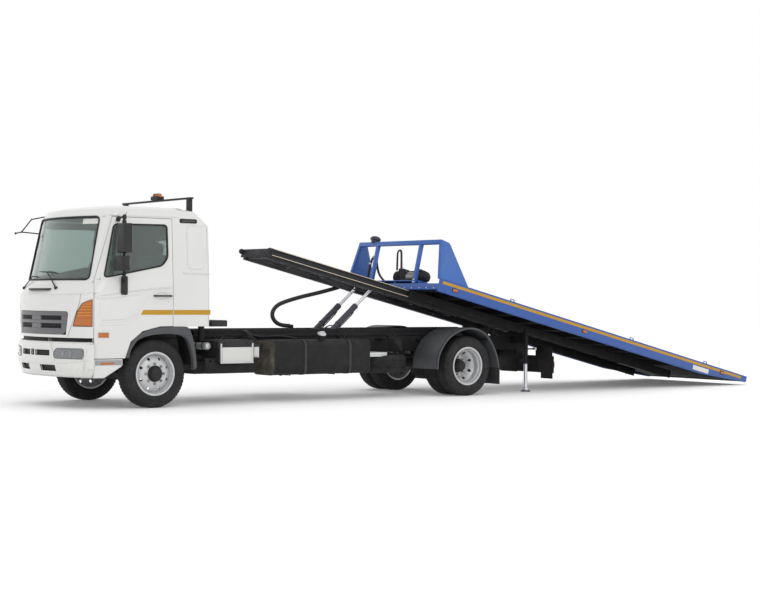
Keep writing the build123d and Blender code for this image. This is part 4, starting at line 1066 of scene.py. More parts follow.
def makeGrille():
    middle, end, proud, thick = (grilleLook[k] for k in ("middle", "end", "proud", "thick"))
    slats, posts = grilleLook["slats"], grilleLook["posts"]
    bm = bmesh.new()
    for z0, z1 in grilleLook["bars"]:
        cuts = [z0] + [level[0] for level in grilleLook["levels"] if z0 < level[0] < z1] + [z1]
        wrapStrip(bm, [(z, -grilleWidth(z), grilleWidth(z)) for z in cuts], cab, proud, thick, 40)
    for z0, z1 in grilleLook["openings"]:
        edges = (z0 - 0.001, z1 + 0.001)
        for hand in (1, -1):
            ends = [(z, hand * end, hand * grilleWidth(z)) for z in edges]
            wrapStrip(bm, ends, cab, proud - 0.001, thick - 0.002, 6)
        wrapStrip(bm, [(z, -middle, middle) for z in edges], cab, proud - 0.001, thick - 0.002, 8)
    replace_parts(meshPiece("grilleFrame", bm, "grille", "cab", 0.005), "grille")
    bm = bmesh.new()
    for z0, z1 in grilleLook["openings"]:
        for hand in (1, -1):
            for i in range(slats):
                z = z0 + (z1 - z0) * (i + 0.5) / slats
                ends = [(level, hand * middle, hand * end) for level in (z - 0.004, z + 0.004)]
                wrapStrip(bm, ends, cab, -0.016, 0.014, 16)
            for i in range(posts):
                y = hand * (middle + (end - middle) * (i + 0.5) / posts)
                wrapStrip(bm, [(z, y - 0.004, y + 0.004) for z in (z0, z1)], cab, -0.02, 0.012, 1)
    meshPiece("grilleSlats", bm, "plastic", "cab")
    bm = bmesh.new()
    wrapStrip(bm, [(0.99, -0.64, 0.64), (1.32, -0.7, 0.7)], cab, -0.05, 0.008, 30)
    meshPiece("grilleBack", bm, "seal", "cab")


makeGrille()

# Bumper: dark fillers behind its slots and above it, a crease and rims round the slots
slotTable = [(0.052, 0.41, 0.715, 0.79), (-0.075, 0.02, 0.715, 0.795), (-0.41, -0.11, 0.715, 0.79),
             (0.175, 0.515, 0.51, 0.59), (-0.515, -0.175, 0.51, 0.59)]


def makeBumperParts():
    bm = bmesh.new()
    wrapStrip(bm, [(0.885, -1.09, 1.09), (0.972, -1.09, 1.09)], cab, -0.05, 0.012, 40)
    wrapStrip(bm, [(0.895, -1.08, 1.08), (0.91, -1.08, 1.08)], bumperShape, -0.034, 0.05, 40)
    meshPiece("bumperFiller", bm, "seal", "cab", 0.003)
    bm = bmesh.new()
    for y0, y1, z0, z1 in slotTable:
        wrapStrip(bm, [(z0 - 0.02, y0 - 0.02, y1 + 0.02), (z1 + 0.02, y0 - 0.02, y1 + 0.02)], bumperShape,
                  -0.032, 0.006, 8)
    meshPiece("slotBacks", bm, "seal", "cab")
    for i, (y0, y1, z0, z1) in enumerate(slotTable):
        loop = boxLoop(y0, y1, z0, z1, 0.018, 4)
        frontLine("slotRim" + str(i), loop, 0.0045, "plastic", bumperShape, -0.005, closed=True)
    crease = [(-1.09, 0.665), (-0.7, 0.622), (-0.3, 0.607), (0.3, 0.607), (0.7, 0.622), (1.09, 0.665)]
    frontLine("bumperCrease", crease, 0.006, "white", bumperShape, 0.0, 0.7)
    lip = [(-1.08, 0.895), (-0.5, 0.9), (0.5, 0.9), (1.08, 0.895)]
    frontLine("bumperLip", lip, 0.007, "white", bumperShape, -0.004, 0.7)
    frontLine("bumperFoot", [(-1.07, 0.436), (1.07, 0.436)], 0.006, "white", bumperShape, -0.002, 0.7)


makeBumperParts()

# Head lamps: chromed pan with two bowls and a turn lamp behind a clear cover
lampLook = {
    "outline": [(0.515, 0.683), (0.49, 0.745), (0.545, 0.818), (1.01, 0.818), (1.01, 0.683)],
    "corners": [0.05, 0.05, 0.06, 0.035, 0.035], "bowls": [(0.612, 0.748, 0.052), (0.745, 0.75, 0.055)],
    "turnLamp": (0.89, 0.75, 0.06, 0.042),
}


def makeHeadLamps():
    for hand, label in hands:
        loop = roundedLoop([(hand * y, z) for y, z in lampLook["outline"]], lampLook["corners"], 6)
        fine = fineLoop(loop, 0.04)
        pan = frontPanel("lampPan" + label, fine, bumperShape,
                         [(0.0, -0.008), (0.012, -0.045), (0.03, -0.06)], 0.004, "lampPan")
        if hand > 0:
            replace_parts(pan, "head_lamps")
        bm = bmesh.new()
        for y, z, r in lampLook["bowls"]:
            mouth = wrapSkin(alongOf(hand * y, z, bumperShape), z, bumperShape, -0.026)
            bowl = [(r, 0.0), (r + 0.004, -0.002), (r + 0.003, -0.008), (r * 0.8, -0.022), (0.012, -0.034),
                    (0.0, -0.034), (0.0, -0.030), (0.012, -0.030), (r * 0.75, -0.018), (r - 0.004, -0.004)]
            addTurned(bm, bowl, mouth, xWay, 36)
            addTurned(bm, [(0.0, -0.006), (0.011, -0.009), (0.013, -0.016), (0.011, -0.03), (0.0, -0.031)],
                      mouth, xWay, 16)
        meshPiece("lampBowls" + label, bm, "chrome", "cab")
        y, z, w, h = lampLook["turnLamp"]
        oval = ovalOf(hand * y, z, hand * w, h, 28)
        frontPanel("turnLamp" + label, oval, bumperShape, [(0.0, -0.045), (0.01, -0.033), (0.03, -0.028)],
                   0.004, "amber")
        frontPanel("lampCover" + label, fine, bumperShape, [(0.0, -0.004), (0.006, 0.002), (0.03, 0.004)],
                   0.004, "clear")
        frontLine("lampRim" + label, loop, 0.005, "grey", bumperShape, -0.001, closed=True)


makeHeadLamps()

# Corner lamps: the lens with its ribs, on the cab's corners; the ribs take a brighter amber, a painted
# highlight
cornerLamp = {"outline": [(0.808, 1.116), (0.835, 1.2), (0.872, 1.31), (0.945, 1.418), (1.072, 1.478),
                          (1.072, 1.116)],
              "ribs": 5, "ribZ": (1.262, 1.415)}


def cornerEdge(z):  # the lamp's inner edge at a height
    return between([(z, y) for y, z in cornerLamp["outline"][:5]], z)[0]


def makeCornerLamps():
    dress("corner_lamps", "deepAmber", 0.003)
    low, high = cornerLamp["ribZ"]
    for hand, label in hands:
        bm = bmesh.new()
        for i in range(cornerLamp["ribs"]):
            z = low + (high - low) * i / (cornerLamp["ribs"] - 1)
            y0, y1 = alongOf(cornerEdge(z) + 0.015, z), alongOf(1.066, z)
            points = [wrapSkin(hand * (y0 + (y1 - y0) * k / 8), z, cab, -0.002) for k in range(9)]
            addTube(bm, points, 0.0105, 8, 0.5)
        # the ribs' brighter amber is a painted highlight
        meshPiece("lampRibs" + label, bm, "brightAmber", "cab")
        loop = [(hand * (cornerEdge(1.13) + 0.02), 1.13), (hand * (cornerEdge(1.225) + 0.015), 1.225),
                (hand * 1.06, 1.225), (hand * 1.06, 1.13)]
        fine = fineLoop(roundedLoop(loop, 0.02, 4), 0.03)
        frontPanel("lampFacet" + label, fine, cab, [(0.0, -0.003), (0.008, 0.002), (0.02, 0.003)], 0.003,
                   "deepAmber")
        rim = [(hand * y, z) for y, z in cornerLamp["outline"]]
        frontLine("cornerRim" + label, rim, 0.003, "seal", cab, -0.001, closed=True)


makeCornerLamps()

# Cowl, panel lines, wipers and blank stickers on the front
frontLook = {
    "cowl": [(0.0, 1.533), (0.35, 1.536), (0.7, 1.543), (0.95, 1.553), (1.09, 1.566)],
    "gap": [(0.93, 1.548), (0.918, 1.44), (0.862, 1.3), (0.79, 1.13), (0.722, 0.972)],
    "handle": (-0.284, 0.315, 1.61), "recess": (-0.32, 0.36, 1.61, 0.055),
    "wipers": [((0.431, 1.625), (0.072, 1.85), (-0.214, 1.858), (0.3, 1.838)),
               ((-0.802, 1.625), (-0.43, 1.79), (-0.74, 1.80), (-0.26, 1.785))],
    "stickers": [(0.6, 0.9, 2.495, 2.565), (-0.777, -0.642, 2.361, 2.53)],
}


def makeFrontParts():
    cowl = [(-y, z) for y, z in frontLook["cowl"][:0:-1]] + frontLook["cowl"]
    frontLine("cowlCrease", cowl, 0.009, "white", cab, -0.002, 0.7)
    for hand, label in hands:
        gap = [(hand * y, z) for y, z in frontLook["gap"]]
        frontLine("panelGap" + label, gap, 0.0042, "seal", cab, -0.0028)
    y0, y1, z = frontLook["handle"]
    bm = bmesh.new()
    spots = [(y0, -0.006), (y0, 0.018), (y0 + 0.03, 0.03), ((y0 + y1) / 2, 0.034), (y1 - 0.03, 0.03),
             (y1, 0.018), (y1, -0.006)]
    addTube(bm, [wrapSkin(alongOf(y, z), z, cab, high) for y, high in spots], 0.0165, 14, 0.85)
    meshPiece("grabHandle", bm, "plastic", "cab")
    a, b, z, h = frontLook["recess"]
    loop = boxLoop(a, b, z - h, z + h, 0.05)
    frontLine("recessRim", loop, 0.007, "white", cab, -0.002, 0.6, closed=True)
    bm = bmesh.new()
    for foot, joint, bladeA, bladeB in frontLook["wipers"]:
        def at(p, high):
            return wrapSkin(alongOf(*p), p[1], cab, high)
        mid = ((foot[0] + joint[0]) / 2, (foot[1] + joint[1]) / 2)
        addTurned(bm, [(0.0, 0.03), (0.014, 0.03), (0.02, 0.022), (0.022, -0.01), (0.0, -0.01)],
                  at(foot, 0.0), Vector((1, 0, 0.3)), 20)
        addTube(bm, [at(foot, 0.014), at(mid, 0.03), at(joint, 0.024)], [0.012, 0.0085, 0.006], 10, 0.6)
        middle = ((bladeA[0] + bladeB[0]) / 2, (bladeA[1] + bladeB[1]) / 2)
        for start, end, high, r in ((bladeA, bladeB, 0.005, 0.005), (bladeA, middle, 0.014, 0.0035),
                                    (middle, bladeB, 0.014, 0.0035)):
            points = [((start[0] * (5 - k) + end[0] * k) / 5,
                       (start[1] * (5 - k) + end[1] * k) / 5) for k in range(6)]
            arch = [high + (0.01 * math.sin(math.pi * k / 5) if r < 0.004 else 0) for k in range(6)]
            addTube(bm, [at(p, up) for p, up in zip(points, arch)], r, 8)
    wipers = meshPiece("wiperSet", bm, "plastic", "cab")
    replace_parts(wipers, "wipers")
    for i, (a, b, low, high) in enumerate(frontLook["stickers"]):
        loop = fineLoop(boxLoop(a, b, low, high, 0.012, 3), 0.04)
        frontPanel("sticker" + str(i), loop, cab, [(0.0, -0.0115), (0.001, -0.011)], 0.001, "pale", 3)


makeFrontParts()
print("front of the cab made")

# Sides of the cab: crease, gutter, embossed panel, ledge, vent, roof lamp, step strips
sideLook = {
    "crease": [(0.925, 1.508), (0.637, 1.548), (0.438, 1.586), (0.2, 1.612), (-0.018, 1.634),
               (-0.225, 1.648)],
    "gutter": [(0.74, 2.6), (0.6, 2.603), (-0.114, 2.612), (-0.34, 2.612)],
    "emboss": [(-0.467, 2.5), (-0.785, 2.5), (-0.785, 2.2), (-0.735, 1.898), (-0.51, 1.898), (-0.467, 1.94)],
    "ledge": [(-0.4, 1.855), (-0.45, 1.838), (-0.82, 1.838)],
    "seams": [(0.9455, 0.7, 1.55), (0.9515, 0.44, 0.9)],
    "vent": (-0.36, -0.64, 2.535, 2.595), "roofLamp": (0.625, 2.627, 0.058, 0.02),
    "strip": (0.925, 0.545, 0.6, 0.668), "reflector": (0.857, 0.66, 0.609, 0.638),
    "tab": (-0.874, -0.85, 0.93, 1.0, 1.626, 1.822),
}


def makeSideParts():
    for hand, label in hands:
        def skin(x, z, high):
            return sideSkin(x, z, hand, high)
        sideLine("doorCrease" + label, sideLook["crease"], 0.017, "white", hand, -0.004, 0.6,
                 "door_" + label.lower())
        sideLine("gutter" + label, sideLook["gutter"], 0.008, "white", hand, -0.001, 0.7)
        emboss = fineLoop(roundedLoop(sideLook["emboss"], [0.05, 0.05, 0.02, 0.05, 0.05, 0.04]), 0.05)
        raised = [(0.0, 0.0), (0.006, 0.006), (0.018, 0.012), (0.03, 0.013)]
        skinPanel("rearEmboss" + label, emboss, skin, raised, 0.003, "white", "cab", 4)
        sideLine("rearLedge" + label, sideLook["ledge"], 0.016, "white", hand, -0.004, 0.6)
        for k, (x, low, high) in enumerate(sideLook["seams"]):
            seam = [(x, low), (x, high)]
            sideLine("frontSeam" + str(k) + label, seam, 0.003 + 0.0015 * k, "seal", hand, -0.0035)
        x0, x1, low, high = sideLook["vent"]
        loop = fineLoop(boxLoop(x0, x1, low, high, 0.03), 0.04)
        raised = [(0.0, 0.0), (0.006, 0.01), (0.012, 0.011), (0.018, 0.002)]
        skinPanel("ventPlate" + label, loop, skin, raised, 0.003, "plastic", "cab", 3)
        bm = bmesh.new()
        for z in (low + 0.022, (low + high) / 2, high - 0.022):
            skinStrip(bm, x0 - 0.035, x1 + 0.035, z - 0.003, z + 0.003, hand, 0.008, 0.007)
        meshPiece("ventBars" + label, bm, "grey", "cab")
        raised = [(0.0, 0.0), (0.003, 0.012), (0.009, 0.02), (0.014, 0.022)]
        oval = ovalOf(*sideLook["roofLamp"], 24)
        skinPanel("roofLamp" + label, oval, skin, raised, 0.004, "chrome", "cab", 3)
        stripPiece("stepStrip" + label, sideLook["strip"], hand, 0.004, 0.006, "stripGrey", "cab", 0.0015)
        stripPiece("stepReflector" + label, sideLook["reflector"], hand, 0.009, 0.007, "amber", "cab", 0.002)
    bm = bmesh.new()
    x0, x1, y0, y1, z0, z1 = sideLook["tab"]
    addBox(bm, x0, x1 + 0.003, y0, y1, z0, z1)
    meshPiece("rearCatch", bm, "plastic", "cab", 0.004)


makeSideParts()

# Beacon domes on the bar, and clamps and glasses of the left-hand mirrors
beaconLook = {
    "domes": (-0.05, 0.02, 0.09), "bar": (-0.6, 2.96), "clamps": (2.512, 2.575), "post": (0.6, 1.27),
    "dome": [(0.0, 0.0395), (0.016, 0.0385), (0.027, 0.032), (0.034, 0.02), (0.036, 0.0), (0.036, -0.012),
             (0.0, -0.012)],
    "clamp": [(0.015, 0.02), (0.026, 0.02), (0.029, 0.014), (0.029, -0.014), (0.026, -0.02), (0.015, -0.02)],
    "glasses": ((0.56, 1.245, 1.418, 2.115, 2.475), (0.59, 1.218, 1.408, 1.875, 2.037)),
}


def makeBeacon():
    bm = bmesh.new()
    x, z = beaconLook["bar"]
    for y in beaconLook["domes"]:
        addTurned(bm, beaconLook["dome"], place(x, y, z), zWay, 28)
    meshPiece("beaconDomes", bm, "amber", "cab")
    bm = bmesh.new()
    for z in beaconLook["clamps"]:
        addTurned(bm, beaconLook["clamp"], place(*beaconLook["post"], z), zWay, 24)
    meshPiece("mirrorClamps", bm, "plastic", "door_left")
    bm = bmesh.new()  # mirror glasses face the rear
    for x, y0, y1, z0, z1 in beaconLook["glasses"]:
        outline = boxLoop(y0, y1, z0, z1, 0.03, 5)
        addPlate(bm, [place(x - 0.001, p.x, p.y) for p in outline], (0.004, 0, 0))
    meshPiece("mirrorGlass", bm, "mirror", "door_left")


makeBeacon()
print("sides and roof of the cab made")


# Smooth arches: pairs of outer and inner points, run smooth and given width
def smoothRun(points, count):
    run = []
    spans = len(points) - 1
    for i in range(count + 1):
        t = spans * i / count
        k = min(int(t), spans - 1)
        f = t - k
        a, b, c, d = (Vector(points[max(0, min(spans, j))]) for j in (k - 1, k, k + 1, k + 2))
        bend = (c - a) * f + (2 * a - 5 * b + 4 * c - d) * f ** 2 + (3 * b - a - 3 * c + d) * f ** 3
        run.append(0.5 * (2 * b + bend))
    return run


def addArch(bm, outer, inner, y0, y1):
    count = 56
    rows = []
    for p, q in zip(smoothRun(outer, count), smoothRun(inner, count)):
        rows.append([bm.verts.new(place(r.x, y, r.y)) for r, y in ((p, y0), (p, y1), (q, y1), (q, y0))])
    bridge(bm, rows)


archLook = {
    "flareOut": [(0.488, 0.69), (0.458, 0.79), (0.404, 0.89), (0.325, 0.975), (0.225, 1.036), (0.1, 1.078),
                 (-0.037, 1.1), (-0.248, 1.109), (-0.44, 1.109), (-0.498, 1.08), (-0.539, 0.994),
                 (-0.58, 0.86), (-0.608, 0.7), (-0.621, 0.54)],
    "flareIn": [(0.43, 0.69), (0.412, 0.775), (0.37, 0.85), (0.302, 0.928), (0.21, 0.968), (0.119, 0.99),
                (0.0, 1.005), (-0.2, 1.008), (-0.36, 0.992), (-0.44, 0.958), (-0.49, 0.89), (-0.53, 0.78),
                (-0.56, 0.66), (-0.575, 0.505)],
    "linerOut": [(0.62, 0.684), (0.56, 0.92), (0.43, 1.055), (0.3, 1.105), (-0.1, 1.108), (-0.45, 1.105),
                 (-0.6, 0.95), (-0.64, 0.56)],
    "linerIn": [(0.612, 0.684), (0.552, 0.916), (0.425, 1.047), (0.296, 1.097), (-0.1, 1.1), (-0.446, 1.097),
                (-0.592, 0.946), (-0.632, 0.56)],
    "guardOut": [(0.67, 0.43), (0.637, 0.653), (0.479, 0.883), (0.257, 1.021), (0.012, 1.072),
                 (-0.217, 1.033), (-0.407, 0.906), (-0.557, 0.666), (-0.62, 0.43)],
    "guardIn": [(0.662, 0.43), (0.629, 0.651), (0.473, 0.877), (0.254, 1.013), (0.012, 1.064),
                (-0.213, 1.025), (-0.4, 0.901), (-0.549, 0.664), (-0.612, 0.43)],
    "lipDeep": 0.028,
}


def makeArches():
    pieces = []
    for hand, label in hands:
        bm = bmesh.new()
        addArch(bm, archLook["flareOut"], archLook["flareIn"], hand * 1.04, hand * 1.1275)
        pieces.append(meshPiece("archFlare" + label, bm, "flare", "cab", 0.012, 3))
        bm = bmesh.new()
        addArch(bm, archLook["linerOut"], archLook["linerIn"], hand * 0.62, hand * 1.045)
        meshPiece("archLiner" + label, bm, "plastic", "cab", 0.002)
        rear = -truck["wheelbase"]
        outer = [(x + rear, z) for x, z in archLook["guardOut"]]
        inner = [(x + rear, z) for x, z in archLook["guardIn"]]
        middle = Vector((rear, 0.4))
        lip = [tuple(Vector(p) + (middle - Vector(p)).normalized() * archLook["lipDeep"]) for p in outer]
        bm = bmesh.new()
        addArch(bm, outer, inner, hand * 0.6, hand * 1.2)
        guard = meshPiece("rearGuard" + label, bm, "flare", "chassis", 0.002)
        if hand > 0:
            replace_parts(guard, "rear_mudguards")
        bm = bmesh.new()
        addArch(bm, outer, lip, hand * 1.165, hand * 1.21)
        meshPiece("guardLip" + label, bm, "flare", "chassis", 0.009, 3)
        bm = bmesh.new()
        addBox(bm, rear - 0.62, rear - 0.612, hand * 0.6, hand * 1.21, 0.17, 0.45)
        for y in (0.66, 0.9, 1.14):
            addBox(bm, rear - 0.627, rear - 0.619, hand * y - 0.02, hand * y + 0.02, 0.4, 0.46)
        meshPiece("guardFlap" + label, bm, "hose", "chassis", 0.003)
        bm = bmesh.new()
        addRod(bm, place(rear + 0.012, hand * 0.42, 1.05), place(rear + 0.012, hand * 1.17, 1.05), 0.015)
        for dx, z in ((0.45, 0.86), (-0.38, 0.88)):
            addRod(bm, place(rear + dx, hand * 0.41, z), place(rear + dx, hand * 1.17, z), 0.014)
        meshPiece("guardStays" + label, bm, "black", "chassis")
    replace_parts(pieces[0], "arch_liners")


makeArches()
print("arches made")

# Seats: a cushion and a backrest with piping, on a steel base
seatLook = {"floor": 1.152, "seats": [(-0.56, 0.52), (0.46, 0.9)], "power": 5}


def addPillow(bm, centre, half, lean=0.0, power=5, cuts=9):  # a stuffed block that leans back
    part = bmesh.new()
    bmesh.ops.create_cube(part, size=2)
    bmesh.ops.subdivide_edges(part, edges=part.edges, cuts=cuts, use_grid_fill=True)
    turn = Matrix.Rotation(lean, 3, "Y")
    for vert in part.verts:
        p = vert.co
        size = sum(abs(value) ** power for value in p) ** (1 / power)
        p = p / max(size, 1e-6)
        vert.co = centre + turn @ Vector((p.x * half[0], p.y * half[1], p.z * half[2]))
    mesh = bpy.data.meshes.new("pillow")
    part.to_mesh(mesh)
    part.free()
    bm.from_mesh(mesh)
    bpy.data.meshes.remove(mesh)


def makeSeats():
    floor = seatLook["floor"]
    first = None
    for i, (y, width) in enumerate(seatLook["seats"]):
        parts = (("Cushion", (0.02, y, floor + 0.27), (0.28, width / 2, 0.075), 0.03),
                 ("Back", (-0.295, y, floor + 0.62), (0.075, width / 2, 0.33), -0.16),
                 ("Rest", (-0.352, y, floor + 1.02), (0.045, 0.13, 0.09), -0.1))
        for word, spot, half, lean in parts:
            bm = bmesh.new()
            addPillow(bm, place(*spot), half, lean, seatLook["power"])
            pad = meshPiece("seat" + word + str(i), bm, "cloth", "cab")
            first = first or pad
            bm = bmesh.new()
            turn = Matrix.Rotation(lean, 3, "Y")
            loop = []
            for k in range(48):
                turns = (math.cos(k * math.pi / 24), math.sin(k * math.pi / 24))
                c, s = (math.copysign(abs(v) ** 0.4, v) for v in turns)
                p = (half[0] * c, half[1] * s, 0.0) if word == "Cushion" else (0.0, half[1] * c, half[2] * s)
                loop.append(place(*spot) + turn @ Vector(p))
            addTube(bm, loop, 0.005, 8, closed=True)
            meshPiece("seatPiping" + word + str(i), bm, "seal", "cab", slot="seat_fabric")
        bm = bmesh.new()
        addBox(bm, -0.2, 0.22, y - width / 2 + 0.06, y + width / 2 - 0.06, floor, floor + 0.2)
        meshPiece("seatBase" + str(i), bm, "black", "cab", 0.015, 3)
    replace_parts(first, "seats")


makeSeats()
print("seats made")


# Chassis: straps and cap on the tank, battery cover, tanks and brackets
chassisLook = {
    "tank": {"x": (-3.71, -1.98), "y": (0.44, 1.01), "z": (0.393, 0.9), "round": 0.11,
             "straps": (-2.53, -3.34), "filler": (-2.89, 0.905, 0.985)},
    "battery": {"x": (-1.624, -1.051), "y": 1.0, "z": (0.598, 0.815), "lidTop": 0.9},
    "relay": (-1.78, -1.70, 0.9, 0.66, 0.844), "reservoir": (-0.967, 0.8, 0.826), "reservoirRadius": 0.052,
    "bar": (-4.1, -3.72, 0.665), "wedge": [(-4.25, 0.89), (-4.41, 0.89), (-4.41, 0.69)],
    "plate": [(-0.86, 0.66), (-1.75, 0.66), (-1.70, 0.44), (-0.90, 0.44)],
}


def addBand(bm, x, half, loop, thick):  # a flat strap round a rounded outline
    middle = middleOf(loop)
    rows = []
    for p in loop:
        far = p + (p - middle).normalized() * thick
        corners = ((x - half, p), (x - half, far), (x + half, far), (x + half, p))
        rows.append([bm.verts.new(place(a, q.x, q.y)) for a, q in corners])
    bridge(bm, rows, closed=True)


def makeTankParts():
    tank = chassisLook["tank"]
    bm = bmesh.new()
    loop = boxLoop(*tank["y"], *tank["z"], tank["round"], 8)
    for x in tank["straps"]:
        addBand(bm, x, 0.02, loop, 0.006)
    for x in (tank["x"][0] + 0.006, tank["x"][1] - 0.006):
        addBand(bm, x, 0.005, loop, 0.004)
    meshPiece("tankStraps", bm, "strap", "chassis", 0.0015)
    x, y, z = tank["filler"]
    up = Vector((0, 0.24, 1)).normalized()
    bm = bmesh.new()
    cap = [(0.0, 0.03), (0.03, 0.03), (0.034, 0.024), (0.052, 0.022), (0.062, 0.018), (0.066, 0.008),
           (0.066, -0.012), (0.062, -0.016), (0.056, -0.016), (0.0, -0.016)]
    addTurned(bm, cap, place(x, y, z), up, 40)
    addBox(bm, x - 0.045, x + 0.045, y - 0.004, y + 0.012, z + 0.024, z + 0.04)
    meshPiece("fillerCap", bm, "alloy", "chassis", 0.003)
    bm = bmesh.new()
    addTurned(bm, bandOf(0.056, 0.059, 0.0125, -0.0325), place(x, y, z), up, 36)
    for strap in tank["straps"]:
        addRod(bm, place(strap, 0.6, 0.392), place(strap, 0.6, 0.36), 0.008, 10)
        addBox(bm, strap - 0.03, strap + 0.03, 0.40, 0.56, 0.365, 0.388)
    addRod(bm, place(-2.3, 0.7, 0.395), place(-2.3, 0.7, 0.372), 0.022, 16)
    meshPiece("tankFittings", bm, "black", "chassis", 0.002)
    bm = bmesh.new()  # domed and dusty front end
    x = tank["x"][1]
    rings = []
    for inset, proud in ((0.004, -0.004), (0.01, 0.004), (0.03, 0.012), (0.07, 0.018), (0.13, 0.021)):
        (y0, y1), (z0, z1) = tank["y"], tank["z"]
        corner = max(0.03, tank["round"] - inset)
        loop = boxLoop(y0 + inset, y1 - inset, z0 + inset, z1 - inset, corner, 8)
        rings.append([bm.verts.new(place(x + proud, p.x, p.y)) for p in loop])
    bridge(bm, rings)
    meshPiece("tankEnd", bm, "tankDust", "chassis", smooth=50)


def makeSideBoxes():
    battery = chassisLook["battery"]
    (x0, x1), y, (z0, z1) = battery["x"], battery["y"], battery["z"]
    bm = bmesh.new()
    outline = boxLoop(x0 + 0.008, x1 - 0.05, z0 + 0.006, z1 - 0.004, 0.012, 3)
    addPlate(bm, [place(p.x, y + 0.012, p.y) for p in outline], (0, -0.016, 0))
    meshPiece("batteryCover", bm, "pale", "chassis", 0.003)
    bm = bmesh.new()
    for x in (x0 + 0.02, x1 - 0.03):
        addBox(bm, x - 0.012, x + 0.012, y, y + 0.018, z0 - 0.01, z1 + 0.05)
    addBox(bm, x0 + 0.005, x1 - 0.02, y + 0.004, y + 0.022, z0 - 0.014, z0 + 0.006)
    meshPiece("batteryFrame", bm, "alloy", "chassis", 0.002)
    bm = bmesh.new()
    top = battery["lidTop"]
    addBox(bm, x0 + 0.02, x1 - 0.02, 0.56, 0.97, top - 0.005, top + 0.012)
    grip = ((-1.45, top), (-1.44, top + 0.035), (-1.25, top + 0.035), (-1.24, top))
    addTube(bm, [place(x, 0.78, h) for x, h in grip], 0.012, 10)
    for x in (-1.53, -1.15):
        addBox(bm, x - 0.022, x + 0.022, 0.995, 1.018, top - 0.05, top + 0.01)
    meshPiece("batteryLid", bm, "plastic", "chassis", 0.004)
    x0, x1, y, z0, z1 = chassisLook["relay"]
    bm = bmesh.new()
    addBox(bm, x0 - 0.006, x1 + 0.006, 0.70, y + 0.008, z0 - 0.004, z1 - 0.03)
    meshPiece("relayCover", bm, "pale", "chassis", 0.006, 3)
    bm = bmesh.new()
    addBox(bm, x0 - 0.012, x1 + 0.012, 0.69, y + 0.014, z1 - 0.034, z1 + 0.006)
    for dx in (-0.02, 0.02):
        route = ((-1.74, 0.88, 0), (-1.74, 0.87, 0.05), (-1.75, 0.8, 0.09), (-1.76, 0.6, 0.1),
                 (-1.77, 0.44, 0.1))
        addTube(bm, [place(x + dx, y, z1 + rise) for x, y, rise in route], 0.008, 8)
    meshPiece("relayLid", bm, "plastic", "chassis", 0.003)
    x, y, z = chassisLook["reservoir"]
    r = chassisLook["reservoirRadius"]
    bm = bmesh.new()
    profile = [(0.0, r * 1.25), (r * 0.5, r * 1.17), (r * 0.86, r * 0.9), (r, r * 0.4), (r, -0.3),
               (r * 0.86, -0.335), (r * 0.5, -0.345), (0.0, -0.35)]
    addTurned(bm, profile, place(x, y, z), yWay, 32)
    meshPiece("airReservoir", bm, "alloy", "chassis")
    bm = bmesh.new()
    for dy in (-0.05, -0.22):
        addTurned(bm, bandOf(r + 0.001, r + 0.006, 0.012), place(x, y + dy, z), yWay, 32)
        addBox(bm, x - 0.012, x + 0.012, 0.42, y + dy + 0.01, z + r, z + r + 0.014)
    outline = [place(px, 0.93, pz) for px, pz in chassisLook["plate"]]
    addPlate(bm, outline, (0, -0.006, 0))
    for px in (-0.95, -1.68):
        addBox(bm, px - 0.015, px + 0.015, 0.4, 0.93, 0.6, 0.63)
    meshPiece("sidePlate", bm, "black", "chassis", 0.002)
    bm = bmesh.new()
    x0, x1, z = chassisLook["bar"]
    addBox(bm, x0, x1, 0.45, 0.93, z - 0.033, z + 0.033)
    meshPiece("silverBar", bm, "alloy", "chassis", 0.006, 3)
    bm = bmesh.new()
    addPlate(bm, [place(px, 0.9, pz) for px, pz in chassisLook["wedge"]], (0, -0.008, 0))
    addBox(bm, -4.42, -4.25, 0.42, 0.9, 0.88, 0.9)
    meshPiece("wedgeBracket", bm, "black", "chassis", 0.002)


makeTankParts()
makeSideBoxes()


# Bolts along the rails, tubes and lines, brake gear, springs' clamps
frameLook = {
    "mounts": (-1.39, -3.6, -4.56), "mountBolts": ((-0.05, 1.0), (0.05, 1.0), (-0.015, 0.84), (0.015, 0.84)),
    "boltX": 0.85, "boltPitch": 0.215, "boltCount": 38, "boltRows": (0.74, 0.87), "boltY": 0.4205,
    "boardX": -7.46, "boardY": 0.12, "boardPitch": 0.13, "boardCount": 8, "boardZ": 0.555,
    "lineX": 0.7, "lineStep": 0.4, "linePoints": 19, "shaft": ((-1.88, 0.6), (-5.17, 0.488)),
}


